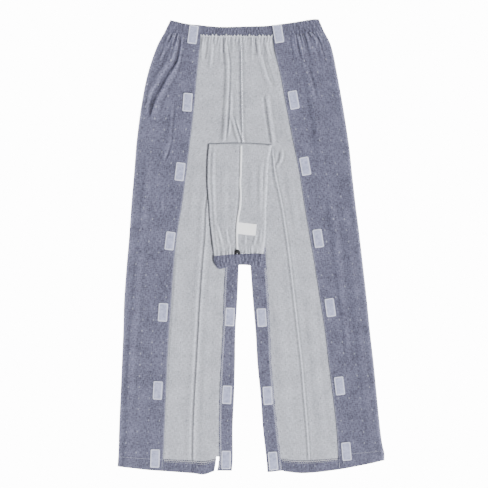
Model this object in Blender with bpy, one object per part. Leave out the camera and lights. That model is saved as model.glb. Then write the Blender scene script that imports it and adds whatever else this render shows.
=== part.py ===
"""Tear-away patient trousers, laid flat and face up, with the front panel folded down.

Lengths are in millimetres until a mesh is written, in metres. The origin is on the floor
under the middle of the trousers, +Y points to the waist and +Z up. Left and right are the
sides of someone who looks down on them. Every function that places a point takes a level:
0 is the lower face of the cloth and 1 its upper face.
"""

import math
from bisect import bisect_right
from collections import namedtuple

import bmesh
import bpy
from mathutils import Vector

METRES = 0.001

# Cloth and trim
WALL = 1.2
SEAM_GAP = 0.3
HALF_GAP = SEAM_GAP / 2
BAND_WALL = 2.0
GATHER_RISE = 0.9
PATCH_WIDTH = 20.0
PATCH_LENGTH = 40.0
PATCH_WALL = 1.5
PATCH_CORNER = 2.5
LABEL_WALL = 1.0
LOOP_RADIUS = 1.6

# Levels of the layers, each a seam gap above the one it lies on
GROUND_TOP = WALL
SECOND = GROUND_TOP + SEAM_GAP
SECOND_TOP = SECOND + WALL
THIRD = SECOND_TOP + SEAM_GAP
FRONT_BAND = BAND_WALL + SEAM_GAP
FRONT_BAND_TOP = FRONT_BAND + BAND_WALL
FOLDED_TOP = 8.2
FOLDED_END_TOP = 6.0
FLAP = FOLDED_TOP + SEAM_GAP
FLAP_BAND = FOLDED_END_TOP + SEAM_GAP

# Nominal heights on the sheet: waist seam, crotch, top of the turned-up hem and hem edge
WAIST = 463.0
CROTCH = 205.0
HEM_TOP = -468.0
HEM = -495.0

# Where the cut edges and creases of the back lie at each height, from left to right
Station = namedtuple(
    "Station", "y side_l wrap_l crease_l strip_l inner_l inner_r strip_r crease_r wrap_r side_r"
)
STATIONS = [
    Station(463, -190, -111, -62, -38, -21, -21, -8, 18, 48, 160),
    Station(433, -207, -113, -58, -35, -21, -21, -6, 22, 52, 176),
    Station(376, -228, -119, -47, -27, -20, -20, 0, 31, 65, 190),
    Station(306, -242, -125, -49, -27, -19, -19, 5, 40, 78, 203),
    Station(229, -252, -134, -60, -39, -18, -18, 11, 46, 93, 215),
    Station(205, -254, -137, -68, -44, -18, -18, 13, 48, 98, 218),
    Station(165, -257, -142, -84, -50, -20, -14, 18, 52, 106, 222),
    Station(95, -263, -151, -99, -52, -23, -10, 23, 67, 117, 230),
    Station(24, -268, -163, -103, -55, -25, -5, 30, 78, 129, 239),
    Station(-46, -274, -170, -109, -57, -27, -1, 34, 87, 141, 247),
    Station(-117, -279, -175, -114, -60, -30, 4, 39, 95, 152, 255),
    Station(-187, -281, -180, -118, -62, -34, 10, 42, 103, 163, 262),
    Station(-257, -284, -184, -122, -66, -35, 14, 45, 111, 171, 270),
    Station(-328, -287, -187, -126, -69, -37, 21, 51, 117, 180, 277),
    Station(-398, -290, -190, -129, -70, -40, 26, 58, 123, 188, 284),
    Station(-469, -292, -193, -130, -70, -40, 34, 66, 128, 192, 293),
    Station(-495, -293.5, -194, -130, -74, -42, 36, 69, 130, 193, 293.5),
]
Point = namedtuple("Point", "x y")
WAIST_LINE = [
    Point(-190, 472), Point(-154, 468), Point(-112, 463), Point(-33, 462),
    Point(46, 462), Point(108, 469), Point(160, 475),
]
WAIST_TOP = [
    Point(-177, 498.5), Point(-136, 489.5), Point(-110, 487.5), Point(-68, 484),
    Point(-13, 485), Point(44, 487), Point(90, 493), Point(138, 500.5), Point(149, 500),
]
HEM_LINE = [
    Point(-293.5, -482), Point(-269, -485), Point(-231, -490), Point(-178, -494),
    Point(-126, -498), Point(-104, -500.5), Point(-81, -493), Point(-74, -492),
    Point(-42, -492), Point(36, -495), Point(68, -492), Point(76, -494),
    Point(116, -497.5), Point(182, -491), Point(243, -480), Point(293.5, -468),
]

# Folds of the side pieces: the deep diagonal one and the soft one beside it
Fold = namedtuple("Fold", "y deep_l soft_l deep_r soft_r")
FOLDS = [
    Fold(463, -155, -148, 130, 100),
    Fold(433, -157, -150, 148, 104),
    Fold(411, -170, -158, 158, 110),
    Fold(376, -188, -168, 160, 120),
    Fold(343, -206, -172, 168, 128),
    Fold(306, -216, -170, 176, 136),
    Fold(260, -222, -175, 184, 144),
    Fold(205, -226, -188, 192, 152),
    Fold(95, -232, -199, 206, 172),
    Fold(-46, -246, -222, 222, 192),
    Fold(-257, -262, -236, 246, 220),
    Fold(-495, -272, -246, 270, 246),
]

# Section of the outer edge, where the back turns up and the side piece turns down to it
Edge = namedtuple("Edge", "outer_x outer_z inner_x inner_z")
EDGE_SECTION = [
    Edge(0.0, 3.0, 1.2, 3.0),
    Edge(0.35, 1.5, 1.5, 2.1),
    Edge(1.6, 0.4, 2.6, 1.45),
    Edge(5.0, 0.0, 5.0, WALL),
]
EDGE_MEET = 3.0
EDGE_HEIGHT = 2 * EDGE_MEET + SEAM_GAP
FLAT_MARGIN = 34.0
SLIT_WIDTH = 6.6
SLIT_TOP = -462.0

# The folded-down front panel: its edges and centre seam, and the turn at its edges
FlapStation = namedtuple("FlapStation", "y left seam right")
FLAP_STATIONS = [
    FlapStation(228, -92, -21, 47),
    FlapStation(200, -95, -22, 41),
    FlapStation(164, -96, -23, 38),
    FlapStation(139, -96, -24, 37),
    FlapStation(101, -93, -23, 35),
    FlapStation(68, -91, -28, 34),
    FlapStation(46, -89, -31, 34),
    FlapStation(4, -84, -31, 31),
    FlapStation(-18, -82, -29, 27),
]
FLAP_FOLD_LINE = [Point(-92, 227), Point(-24, 229), Point(47, 225)]
FLAP_BAND_TOP = [Point(-82, -20), Point(-40, -16), Point(13, -14), Point(27, -15)]
FLAP_BAND_END = [
    Point(-78, -44), Point(-70, -46.5), Point(-54, -42), Point(-26, -37.5),
    Point(2, -39.5), Point(27, -43.5),
]
Turn = namedtuple("Turn", "inner_x inner_drop outer_x outer_drop")
FLAP_TURN = [
    Turn(1.2, 3.5, 0.0, 4.7),
    Turn(1.3, 1.2, 0.1, 2.1),
    Turn(2.6, 0.2, 1.6, 0.4),
    Turn(6.0, 0.0, 5.5, 0.0),
]
FLAP_FOLD_DEPTH = 2.0
SEAM_RIDGE = 1.2
FLAP_BAND_DROP = FOLDED_TOP - FOLDED_END_TOP

# Hook-and-loop patches: middle, and how far the lower end leans to the right
Patch = namedtuple("Patch", "name x y lean")
PATCHES = [
    Patch("outer_left_1", -127.5, 466.5, -7.5), Patch("outer_left_2", -139.5, 318.0, -4.0),
    Patch("outer_left_3", -156.0, 165.5, -7.0), Patch("outer_left_4", -178.0, 13.5, -7.0),
    Patch("outer_left_5", -193.5, -143.5, -4.0), Patch("outer_left_6", -205.0, -315.0, -3.0),
    Patch("outer_left_7", -211.0, -464.5, -2.0),
    Patch("outer_right_1", 60.0, 468.5, 9.0), Patch("outer_right_2", 93.5, 323.0, 10.0),
    Patch("outer_right_3", 119.0, 177.5, 10.0), Patch("outer_right_4", 147.5, 19.0, 9.0),
    Patch("outer_right_5", 174.0, -133.0, 8.0), Patch("outer_right_6", 194.5, -305.0, 7.0),
    Patch("outer_right_7", 209.5, -449.0, 5.0),
    Patch("inner_left_1", -46.5, -153.5, -2.5), Patch("inner_left_2", -53.0, -324.5, -2.5),
    Patch("inner_left_3", -55.0, -467.5, -1.0),
    Patch("inner_right_1", 23.5, -155.0, 4.0), Patch("inner_right_2", 36.5, -326.5, 4.0),
    Patch("inner_right_3", 48.5, -470.0, 5.0),
]


def clear_scene():
    """Removes every object, so that only the trousers are left."""
    for thing in list(bpy.data.objects):
        bpy.data.objects.remove(thing, do_unlink=True)


def follow(rows, at):
    """Reads a smooth curve through (position, value) rows, held level past its ends."""
    if at <= rows[0][0]:
        return rows[0][1]
    if at >= rows[-1][0]:
        return rows[-1][1]
    k = bisect_right([row[0] for row in rows], at) - 1
    low, high = rows[k], rows[k + 1]
    before, after = rows[max(k - 1, 0)], rows[min(k + 2, len(rows) - 1)]
    span = high[0] - low[0]
    rise_low = (high[1] - before[1]) / (high[0] - before[0]) * span
    rise_high = (after[1] - low[1]) / (after[0] - low[0]) * span
    t = (at - low[0]) / span
    return (
        low[1] * (1 + 2 * t) * (1 - t) ** 2 + rise_low * t * (1 - t) ** 2
        + high[1] * t * t * (3 - 2 * t) + rise_high * t * t * (t - 1)
    )


def rails_of(table):
    """Turns a table of stations into one (height, place) curve for each column."""
    rows = sorted(table)
    return {name: [(row.y, getattr(row, name)) for row in rows] for name in table[0]._fields[1:]}


BACK = rails_of(STATIONS)
SIDE_FOLDS = rails_of(FOLDS)
FLAP_RAILS = rails_of(FLAP_STATIONS)


def fade(value, start, end):
    """Goes smoothly from 0 at start to 1 at end, in either direction."""
    t = min(max((value - start) / (end - start), 0.0), 1.0)
    return t * t * (3 - 2 * t)


def ridge(x, middle, half_width):
    """A ridge of height 1 with straight sides."""
    return max(0.0, 1.0 - abs(x - middle) / half_width)


def waves(t, count, start=0.0):
    """Uneven gathers, from 0 in the troughs to 1, count of them as t goes from 0 to 1."""
    wander = 0.22 * math.sin(17.0 * t + start) + 0.13 * math.sin(41.0 * t + 2.0 * start)
    return 0.5 - 0.5 * math.cos(2 * math.pi * (count * t + wander) + start)


def between(values, k):
    """Reads a list of numbers at a place between two of its entries."""
    low = min(int(k), len(values) - 2)
    return values[low] + (values[low + 1] - values[low]) * (k - low)


def on_sheet(x, height):
    """The true y of a nominal height, with the waist and the hem on their own lines."""
    to_waist = fade(height, WAIST - 120, WAIST) * (follow(WAIST_LINE, x) - WAIST)
    to_hem = fade(height, HEM + 70, HEM) * (follow(HEM_LINE, x) - HEM)
    return height + to_waist + to_hem


def evenly(start, end, count):
    """A list of count numbers from start to end."""
    return [start + (end - start) * k / (count - 1) for k in range(count)]


def material(name, colour, roughness):
    """A plain Principled material in linear colour."""
    surface = bpy.data.materials.new(name)
    surface.use_nodes = True
    shader = surface.node_tree.nodes["Principled BSDF"]
    shader.inputs["Base Color"].default_value = (*colour, 1.0)
    shader.inputs["Roughness"].default_value = roughness
    shader.inputs["Metallic"].default_value = 0.0
    return surface


OUTER_FACE = ((0.215, 0.222, 0.314), 0.92)
INNER_FACE = ((0.514, 0.527, 0.558), 0.92)
LOOP_TAPE = ((0.577, 0.597, 0.701), 0.85)
WHITE_SATIN = ((0.83, 0.83, 0.83), 0.6)
BLACK_CORD = ((0.01, 0.01, 0.012), 0.7)


def add_object(name, mesh, finish):
    """Links a mesh to the scene under its own name and material."""
    mesh.materials.append(material(name, *finish))
    mesh.shade_smooth()
    mesh.set_sharp_from_angle(angle=math.radians(40))
    thing = bpy.data.objects.new(name, mesh)
    bpy.context.scene.collection.objects.link(thing)
    return thing


def cloth(name, finish, columns, rows, place, gathered=None, cuts=0, open_at=None, layers=0):
    """Makes one closed piece of cloth from a grid, and lets place put each of its points.

    place(i, j, level) takes a column, a row and a level. gathered(i, j) says which edges
    across the piece are cut finer, open_at(i, j) which cells are left out, and layers how
    many grooves run round its edge.
    """
    bm = bmesh.new()
    bmesh.ops.create_grid(bm, x_segments=columns, y_segments=rows, size=0.5)
    for vert in bm.verts:
        vert.co = Vector(((vert.co.x + 0.5) * columns, (vert.co.y + 0.5) * rows, 0.0))
    if open_at:
        gone = [f for f in bm.faces if open_at(*f.calc_center_median().xy)]
        bmesh.ops.delete(bm, geom=gone, context="FACES")
    if gathered:
        across = [
            e for e in bm.edges
            if abs(e.verts[0].co.y - e.verts[1].co.y) < 0.01
            and gathered((e.verts[0].co.x + e.verts[1].co.x) / 2, e.verts[0].co.y)
        ]
        bmesh.ops.subdivide_edges(bm, edges=across, cuts=cuts, use_grid_fill=True)
    raised = bmesh.ops.extrude_face_region(bm, geom=bm.faces[:])["geom"]
    bmesh.ops.translate(
        bm, vec=(0, 0, 1), verts=[v for v in raised if isinstance(v, bmesh.types.BMVert)]
    )
    if layers:
        upright = [e for e in bm.edges if abs(e.verts[0].co.z - e.verts[1].co.z) > 0.5]
        bmesh.ops.subdivide_edges(bm, edges=upright, cuts=layers, use_grid_fill=True)
    for vert in bm.verts:
        vert.co = Vector(place(*vert.co)) * METRES
    lowest = min(v.co.z for v in bm.verts)
    flat = [f for f in bm.faces if max(v.co.z for v in f.verts) < lowest + 1e-7]
    bmesh.ops.dissolve_faces(bm, faces=flat, use_verts=False)
    bmesh.ops.recalc_face_normals(bm, faces=bm.faces[:])
    mesh = bpy.data.meshes.new(name)
    bm.to_mesh(mesh)
    bm.free()
    return add_object(name, mesh, finish)


def inward(side):
    """The direction from the outer edge of that side to the middle."""
    return 1 if side == "l" else -1


def back_relief(side, x, height):
    """How far the top of a back panel stands above its plain wall."""
    crease = follow(BACK["crease_" + side], height)
    seam = follow(BACK["inner_" + side], height)
    leg = fade(height, 110, 50) * fade(height, HEM_TOP, HEM_TOP + 40)
    seat = fade(height, 232, 262)
    pressed = 1.0 * leg * (ridge(x, crease - 6, 6) + ridge(x, crease + 6, 6))
    pleat = 1.3 * seat * ridge(x, crease, 6)
    middle_seam = 1.0 * seat * ridge(x, seam, 4)
    wrap = follow(BACK["wrap_" + side], height)
    shown = min(max(abs(x - wrap) / 4, 0.0), 1.0) if (x - wrap) * inward(side) > 0 else 0.0
    t = (x - BACK["wrap_l"][-1][1]) / (BACK["wrap_r"][-1][1] - BACK["wrap_l"][-1][1])
    pucker = 1.3 * waves(t, 26) * fade(height, WAIST - 30, WAIST) * shown
    return min(pressed + max(pleat, middle_seam, pucker), 1.8)


def make_back(side):
    """One back panel: seat and leg, its grey inner face up."""
    name = "back_left" if side == "l" else "back_right"
    toward = inward(side)

    def rail(column, shift=0.0):
        return lambda height: follow(BACK[column + "_" + side], height) + toward * shift

    def halfway(height):
        return (rail("wrap")(height) + rail("crease", -12)(height)) / 2

    rails = [rail("side", edge.outer_x) for edge in EDGE_SECTION]
    rails += [rail("wrap"), halfway]
    rails += [rail("crease", shift) for shift in (-12, -6, 0, 6, 12)]
    rails += [rail("strip", -SLIT_WIDTH), rail("strip"), rail("inner", -4)]
    rails += [rail("inner", -HALF_GAP)]
    heights = [HEM, HEM + 16, SLIT_TOP, -445] + evenly(-420, 410, 32)
    heights += [WAIST - 28, WAIST - 12, WAIST]
    wrap_column, slit_column = 4, 11

    def place(i, j, level):
        height = between(heights, j)
        x = between([at(height) for at in rails], i)
        y = on_sheet(x, height) - (HALF_GAP if height == WAIST else 0.0)
        if i < len(EDGE_SECTION) - 1:
            edge = EDGE_SECTION[round(i)]
            shift, z = (edge.inner_x, edge.inner_z) if level else (edge.outer_x, edge.outer_z)
            return x + toward * (shift - edge.outer_x), y, z
        return x, y, (GROUND_TOP + back_relief(side, x, height)) * level

    def gathered(i, j):
        return i > wrap_column and j > len(heights) - 3.5

    def slit(i, j):
        return side == "l" and slit_column < i < slit_column + 1 and j < 2

    cloth(name, INNER_FACE, len(rails) - 1, len(heights) - 1, place, gathered, 4, slit)


def side_height(side, x, height):
    """The lower face of a side piece: flat along its free edge, puffed towards its fold."""
    toward = inward(side)
    start = follow(BACK["side_" + side], height) + toward * EDGE_SECTION[-1].outer_x
    end = follow(BACK["wrap_" + side], height) - toward * FLAT_MARGIN
    lift = fade(height, WAIST - 62, WAIST - 32)
    base = SECOND + (FRONT_BAND_TOP - SECOND_TOP) * lift
    top = edge_top(height) - WALL
    z = base + (top - base) * (1 - fade(x, start, end))
    deep = follow(SIDE_FOLDS["deep_" + side], height)
    soft = follow(SIDE_FOLDS["soft_" + side], height)
    within = fade((x - start) * toward, 2, 10) * fade((end - x) * toward, 2, 10)
    steep = fade(height, 285, 320) if side == "l" else fade(height, 385, 420)
    fold = steep * (2.6 * ridge(x, deep + toward * 9, 9) + 1.2 * ridge(x, deep - toward * 8, 8))
    fold += 1.4 * fade(height, 170, 200) * fade(height, 330, 300) * ridge(x, soft, 9)
    fold += 1.2 * fade(height, 110, 80) * ridge(x, deep, 10)
    count = 8 if side == "l" else 10
    t = (x - start) / (end - start)
    pucker = 1.6 * waves(t, count, 0.7) * fade(height, WAIST - 36, WAIST)
    return z + within * max(fold * (1 - 0.6 * lift), pucker)


def edge_top(height):
    """How high the rounded outer edge stands: lower where the waistband holds it flat."""
    lift = fade(height, WAIST - 62, WAIST - 32)
    return EDGE_MEET + SEAM_GAP + (EDGE_HEIGHT - EDGE_MEET - SEAM_GAP) * (1 - 0.5 * lift)


def make_side(side):
    """One side piece, folded over from the outer edge, its blue face up."""
    name = "side_left" if side == "l" else "side_right"
    toward = inward(side)

    def rail(column, shift=0.0):
        table = SIDE_FOLDS if column in ("deep", "soft") else BACK
        return lambda height: follow(table[column + "_" + side], height) + toward * shift

    rails = [rail("side", edge.outer_x) for edge in EDGE_SECTION]
    rails += [rail("deep", shift) for shift in (-9, 0, 9)]
    rails += [rail("soft"), rail("wrap", -FLAT_MARGIN), rail("wrap")]
    heights = [HEM, HEM + 18, -450] + evenly(-410, 270, 18) + evenly(290, 420, 9)
    heights += [WAIST - 28, WAIST - 12, WAIST]

    def place(i, j, level):
        height = between(heights, j)
        x = between(in_order([at(height) for at in rails], toward), i)
        y = on_sheet(x, height) - (HALF_GAP if height == WAIST else 0.0)
        if i < len(EDGE_SECTION) - 1:
            edge = EDGE_SECTION[round(i)]
            shift, z = (edge.outer_x, edge.outer_z) if level else (edge.inner_x, edge.inner_z)
            low = EDGE_MEET + SEAM_GAP
            z = low + (EDGE_MEET - z) * (edge_top(height) - low) / EDGE_MEET
            return x + toward * (shift - edge.outer_x), y, z
        return x, y, side_height(side, x, height) + WALL * level

    def gathered(i, j):
        return 3 < i < len(rails) - 2 and j > len(heights) - 3.5

    cloth(name, OUTER_FACE, len(rails) - 1, len(heights) - 1, place, gathered, 4)


def in_order(places, toward, least=2.0):
    """Pushes the folds of a side piece apart where they would cross its flat margin."""
    kept = list(places)
    first = len(EDGE_SECTION)
    for k in range(len(kept) - 3, first - 1, -1):
        if (kept[k + 1] - kept[k]) * toward < least:
            kept[k] = kept[k + 1] - toward * least
    for k in range(first, len(kept) - 2):
        if (kept[k] - kept[k - 1]) * toward < least / 2:
            kept[k] = kept[k - 1] + toward * least / 2
    return kept


def make_inseam(side):
    """The strip turned in along the inner leg edge."""
    name = "inseam_left" if side == "l" else "inseam_right"
    heights = [HEM, HEM + 16, SLIT_TOP, -445] + evenly(-420, CROTCH - 12, 17)

    def place(i, j, level):
        height = between(heights, j)
        outer = follow(BACK["strip_" + side], height)
        inner = follow(BACK["inner_" + side], height) - inward(side) * HALF_GAP
        x = between([outer, (outer + inner) / 2, inner], i)
        return x, on_sheet(x, height), SECOND + WALL * level

    cloth(name, OUTER_FACE, 2, len(heights) - 1, place)


def make_hem(side):
    """The hem turned up over the grey face, between the side piece and the inner strip."""
    name = "hem_left" if side == "l" else "hem_right"
    toward = inward(side)
    clear = SLIT_WIDTH if side == "l" else 2 * SEAM_GAP
    heights = [HEM, HEM + 16, HEM_TOP]
    columns = 10

    def place(i, j, level):
        height = between(heights, j)
        start = follow(BACK["wrap_" + side], height) + toward * SEAM_GAP
        end = follow(BACK["strip_" + side], height) - toward * clear
        x = start + (end - start) * i / columns
        return x, on_sheet(x, height), SECOND + WALL * level

    cloth(name, OUTER_FACE, columns, len(heights) - 1, place)


def band_across(left_low, left_high, right_low, right_high, k):
    """The x of a column of the waistband at its seam and at its top edge."""
    return left_low + (right_low - left_low) * k, left_high + (right_high - left_high) * k


BAND_ROWS = [0.0, 0.14, 0.5, 0.86, 1.0]
BAND_CROWN = [0.72, 0.97, 1.0, 0.97, 0.72]


def make_waistband(name, ends, floor, shown, count):
    """A stretch of the gathered elastic waistband, with count waves where it shows."""
    start, end = shown
    width = ends.right_low - ends.left_low
    first = (start - ends.left_low) / width
    last = (end - ends.left_low) / width
    columns = evenly(first, last, 4 * count + 1)
    columns = ([0.0] if first > 0.01 else []) + columns + ([1.0] if last < 0.99 else [])

    def place(i, j, level):
        low, high = band_across(*ends, between(columns, i))
        v = between(BAND_ROWS, j)
        x = low + (high - low) * v
        y = (follow(WAIST_LINE, low) + HALF_GAP) * (1 - v) + follow(WAIST_TOP, high) * v
        t = (between(columns, i) - first) / (last - first)
        inside = fade(t, 0, 0.03) * fade(t, 1, 0.97)
        crown = between(BAND_CROWN, j)
        top = BAND_WALL * crown + GATHER_RISE * waves(t, count) * inside * crown
        return x, y, floor + top * level

    cloth(name, OUTER_FACE, len(columns) - 1, len(BAND_ROWS) - 1, place)


Ends = namedtuple("Ends", "left_low left_high right_low right_high")


def make_waistbands():
    """The whole back waistband, and the two stretches that fold over the side pieces."""
    make_waistband("waistband_back", Ends(-190, -177, 160, 149), 0.0, (-109, 46), 26)
    make_waistband("waistband_left", Ends(-190, -177, -111, -110), FRONT_BAND, (-188, -146), 8)
    make_waistband("waistband_right", Ends(48, 45, 160, 149), FRONT_BAND, (84, 158), 10)


def flap_floor(y):
    """The lower face of the front panel, which comes down to its waistband."""
    return FLAP - FLAP_BAND_DROP * fade(y, 5, -14)


def make_flap(side):
    """Half of the front panel, folded down at the crotch, its grey inner face up."""
    name = "flap_left" if side == "l" else "flap_right"
    toward = inward(side)
    edge_rail = FLAP_RAILS["left" if side == "l" else "right"]
    ridge_columns = [(0.15, 0.0)] if side == "l" else [(4.2, 0.0), (3.4, 1.0), (1.2, 1.0), (0.15, 0.8)]
    turned = len(FLAP_TURN)
    plain = 3
    down = [0.0] + evenly(0.1, 0.9, 9) + [0.96, 1.0]
    columns = turned + plain + len(ridge_columns) - 2
    rows = turned + len(down) - 2

    def x_at(i, height, level):
        outer = follow(edge_rail, height)
        seam = follow(FLAP_RAILS["seam"], height)
        shift = "outer_x" if level else "inner_x"
        stops = [outer + toward * getattr(turn, shift) for turn in FLAP_TURN]
        last = seam - toward * ridge_columns[0][0]
        stops += [stops[-1] + (last - stops[-1]) * k / plain for k in range(1, plain)]
        stops += [seam - toward * gap for gap, _ in ridge_columns]
        return between(stops, i)

    def place(i, j, level):
        from_top = rows - j
        if from_top <= turned - 1:
            turn = FLAP_TURN[round(from_top)]
            x = x_at(i, 226, level)
            y = follow(FLAP_FOLD_LINE, x) - (turn.outer_x if level else turn.inner_x)
            fold_drop = FLAP_FOLD_DEPTH * (turn.outer_drop if level else turn.inner_drop)
        else:
            along = between(down, from_top - turned + 1)
            x = x_at(i, 222 - 240 * along, level)
            start = follow(FLAP_FOLD_LINE, x) - FLAP_TURN[-1].inner_x
            y = start + (follow(FLAP_BAND_TOP, x) + HALF_GAP - start) * along
            fold_drop = 0.0
        drops = [turn.outer_drop if level else turn.inner_drop for turn in FLAP_TURN]
        edge_drop = between(drops + [0.0] * (columns + 1 - turned), i)
        t = (x + 82) / 109
        pucker = waves(t, 13, 1.0) * fade(y, 12, -14) * fade(i, 1.5, 3.5)
        level_part = [0.0] * (columns + 1 - len(ridge_columns))
        raised = between(level_part + [height for _, height in ridge_columns], i)
        z = flap_floor(y) - max(fold_drop, edge_drop)
        if level:
            z += WALL + max(SEAM_RIDGE * raised * fade(y, -12, -4), 1.1 * pucker)
        return x, y, max(z, SECOND)

    def gathered(i, j):
        return i > turned - 1 and j < 2.5

    cloth(name, INNER_FACE, columns, rows, place, gathered, 4)


def make_flap_layers():
    """What lies folded under the front panel: one rounded solid, grooved into layers."""
    inset = 2.2
    columns = 8
    down = [0.0, 0.03] + evenly(0.12, 0.9, 9) + [0.97, 1.0]
    rows = len(down) - 1
    grooves = 5

    def place(i, j, level):
        along = between(down, rows - j)
        height = 224 - 240 * along
        left = follow(FLAP_RAILS["left"], height) + inset
        right = follow(FLAP_RAILS["right"], height) - inset
        u = between([0.0, 0.03] + evenly(0.2, 0.8, columns - 3) + [0.97, 1.0], i)
        x = left + (right - left) * u
        start = follow(FLAP_FOLD_LINE, x) - 3.0
        y = start + (follow(FLAP_BAND_TOP, x) + 1.5 - start) * along
        rim = i in (0, columns) or j in (0, rows)
        top = flap_floor(y) - SEAM_GAP - (0.8 if rim else 0.0)
        groove = round(level * (grooves + 1)) % 2 * 1.3
        if i in (0, columns):
            x += groove if i == 0 else -groove
        if j in (0, rows):
            y += groove if j == 0 else -groove
        return x, y, THIRD + (top - THIRD) * level

    cloth("flap_layers", OUTER_FACE, columns, rows, place, layers=grooves)


def make_flap_waistband():
    """The gathered waistband of the front panel, and its ends folded under it."""
    count = 13
    columns = evenly(0.0, 1.0, 4 * count + 1)
    left, right = FLAP_RAILS["left"][0][1], FLAP_RAILS["right"][0][1]
    corner = 8.0

    def outline(u, v):
        x = left + (right - left) * u
        x += corner * (1 - fade(u, 0, 0.25)) * max(0.0, v - 0.35) ** 2 / 0.42
        top = follow(FLAP_BAND_TOP, x) - HALF_GAP
        return x, top + (follow(FLAP_BAND_END, x) - top) * v

    def place(i, j, level):
        u, v = between(columns, i), 1 - between(BAND_ROWS, j)
        x, y = outline(u, v)
        crown = between(BAND_CROWN, j) * (0.6 + 0.4 * fade(u, 0, 0.05) * fade(u, 1, 0.97))
        top = BAND_WALL * crown + GATHER_RISE * waves(u, count, 1.0) * crown
        return x, y, FLAP_BAND + top * level

    cloth("flap_waistband", OUTER_FACE, len(columns) - 1, len(BAND_ROWS) - 1, place)

    under_columns, under_rows, grooves = 8, 3, 3

    def place_under(i, j, level):
        u, v = i / under_columns, 1 - j / under_rows
        x, y = outline(u, v)
        x += 5.0 * u + 2.0 * (1 - u)
        y += -2.0 * v - 1.0 * (1 - v)
        groove = round(level * (grooves + 1)) % 2 * 1.0
        if i in (0, under_columns):
            x += groove if i == 0 else -groove
        if j in (0, under_rows):
            y += groove if j == 0 else -groove
        return x, y, THIRD + (FOLDED_END_TOP - THIRD) * level

    cloth("flap_band_under", OUTER_FACE, under_columns, under_rows, place_under, layers=grooves)


def make_plate(name, finish, middle, size, wall, floor, lean=0.0, corner=PATCH_CORNER):
    """A thin plate with rounded corners, its lower end leaning to the right by lean degrees."""
    bm = bmesh.new()
    bmesh.ops.create_cube(bm, size=1.0)
    bmesh.ops.scale(bm, vec=(size[0], size[1], wall), verts=bm.verts)
    upright = [e for e in bm.edges if abs(e.verts[0].co.z - e.verts[1].co.z) > wall / 2]
    bmesh.ops.bevel(
        bm, geom=upright, offset=corner, affect="EDGES", segments=3, profile=0.5, material=-1
    )
    turn = math.radians(lean)
    for vert in bm.verts:
        x, y, z = vert.co
        vert.co = Vector((
            middle[0] + x * math.cos(turn) - y * math.sin(turn),
            middle[1] + x * math.sin(turn) + y * math.cos(turn),
            floor + wall / 2 + z,
        )) * METRES
    mesh = bpy.data.meshes.new(name)
    bm.to_mesh(mesh)
    bm.free()
    return add_object(name, mesh, finish)


def make_patches():
    """The hook-and-loop patches, seven on each side piece and three on each inner strip."""
    for patch in PATCHES:
        floor = THIRD if patch.y < WAIST - 40 else FRONT_BAND_TOP + SEAM_GAP
        make_plate(
            "patch_" + patch.name, LOOP_TAPE, (patch.x, patch.y), (PATCH_WIDTH, PATCH_LENGTH),
            PATCH_WALL, floor, patch.lean,
        )


def make_label():
    """The bare label, sewn in at the centre seam of the front panel."""
    floor = FLAP + WALL + SEAM_GAP
    make_plate(
        "label", WHITE_SATIN, (-6.0, 39.5), (39.0, 25.0), LABEL_WALL, floor, lean=-6.0, corner=0.8
    )


def make_loop():
    """The small loop of cord at the middle of the front waistband."""
    middle, half_width, rise, points = -29.5, 5.6, 6.5, 13
    curve = bpy.data.curves.new("band_loop", "CURVE")
    curve.dimensions = "3D"
    curve.bevel_depth = LOOP_RADIUS * METRES
    curve.bevel_resolution = 2
    curve.use_fill_caps = True
    spline = curve.splines.new("POLY")
    spline.points.add(points - 1)
    for k in range(points):
        angle = math.pi * k / (points - 1)
        x = middle + half_width * math.cos(angle)
        foot = follow(FLAP_BAND_TOP, x) + SEAM_GAP + 0.4
        y = foot + rise * math.sin(angle)
        z = flap_floor(y) + WALL + 1.1 + SEAM_GAP + LOOP_RADIUS
        spline.points[k].co = (x * METRES, y * METRES, z * METRES, 1.0)
    curve.materials.append(material("band_loop", *BLACK_CORD))
    loop = bpy.data.objects.new("band_loop", curve)
    bpy.context.scene.collection.objects.link(loop)


def main():
    clear_scene()
    for side in ("l", "r"):
        make_back(side)
        make_side(side)
        make_inseam(side)
        make_hem(side)
        make_flap(side)
    make_waistbands()
    make_flap_layers()
    make_flap_waistband()
    make_patches()
    make_label()
    make_loop()


main()
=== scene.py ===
"""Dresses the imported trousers: double cloth, gathers, creases, sewing and a plain stage.

Lengths are in millimetres until a mesh is written, in metres. +Y points to the waist and +Z
up, and left and right are the sides of someone who looks down on the trousers. A form takes
the columns, rows and levels of all its points at once; level 0 is the lower face of the
cloth and 1 its upper face.
"""

import math
from bisect import bisect_right
from collections import namedtuple

import bmesh
import bpy
import numpy as np
from mathutils import Matrix, Vector


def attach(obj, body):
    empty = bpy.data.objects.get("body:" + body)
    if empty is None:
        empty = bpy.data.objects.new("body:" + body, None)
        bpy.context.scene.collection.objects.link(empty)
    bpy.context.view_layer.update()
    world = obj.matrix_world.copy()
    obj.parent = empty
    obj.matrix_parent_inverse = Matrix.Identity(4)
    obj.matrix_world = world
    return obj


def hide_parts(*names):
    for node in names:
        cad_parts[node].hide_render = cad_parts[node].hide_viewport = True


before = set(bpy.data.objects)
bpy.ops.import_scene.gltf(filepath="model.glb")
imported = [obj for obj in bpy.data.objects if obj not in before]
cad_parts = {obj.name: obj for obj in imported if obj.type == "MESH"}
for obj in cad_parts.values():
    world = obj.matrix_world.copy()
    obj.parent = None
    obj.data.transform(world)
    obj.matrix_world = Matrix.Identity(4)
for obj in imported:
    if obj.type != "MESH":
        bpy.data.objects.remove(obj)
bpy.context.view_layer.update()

bl_info = {
    "name": "Patient trousers",
    "version": (1, 0, 0),
    "blender": (4, 5, 0),
    "location": "3D View > Sidebar > Trousers",
    "description": "Builds the cloth, trim and sewing of tear-away patient trousers laid flat",
    "category": "Object",
}

METRES = 0.001

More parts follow.
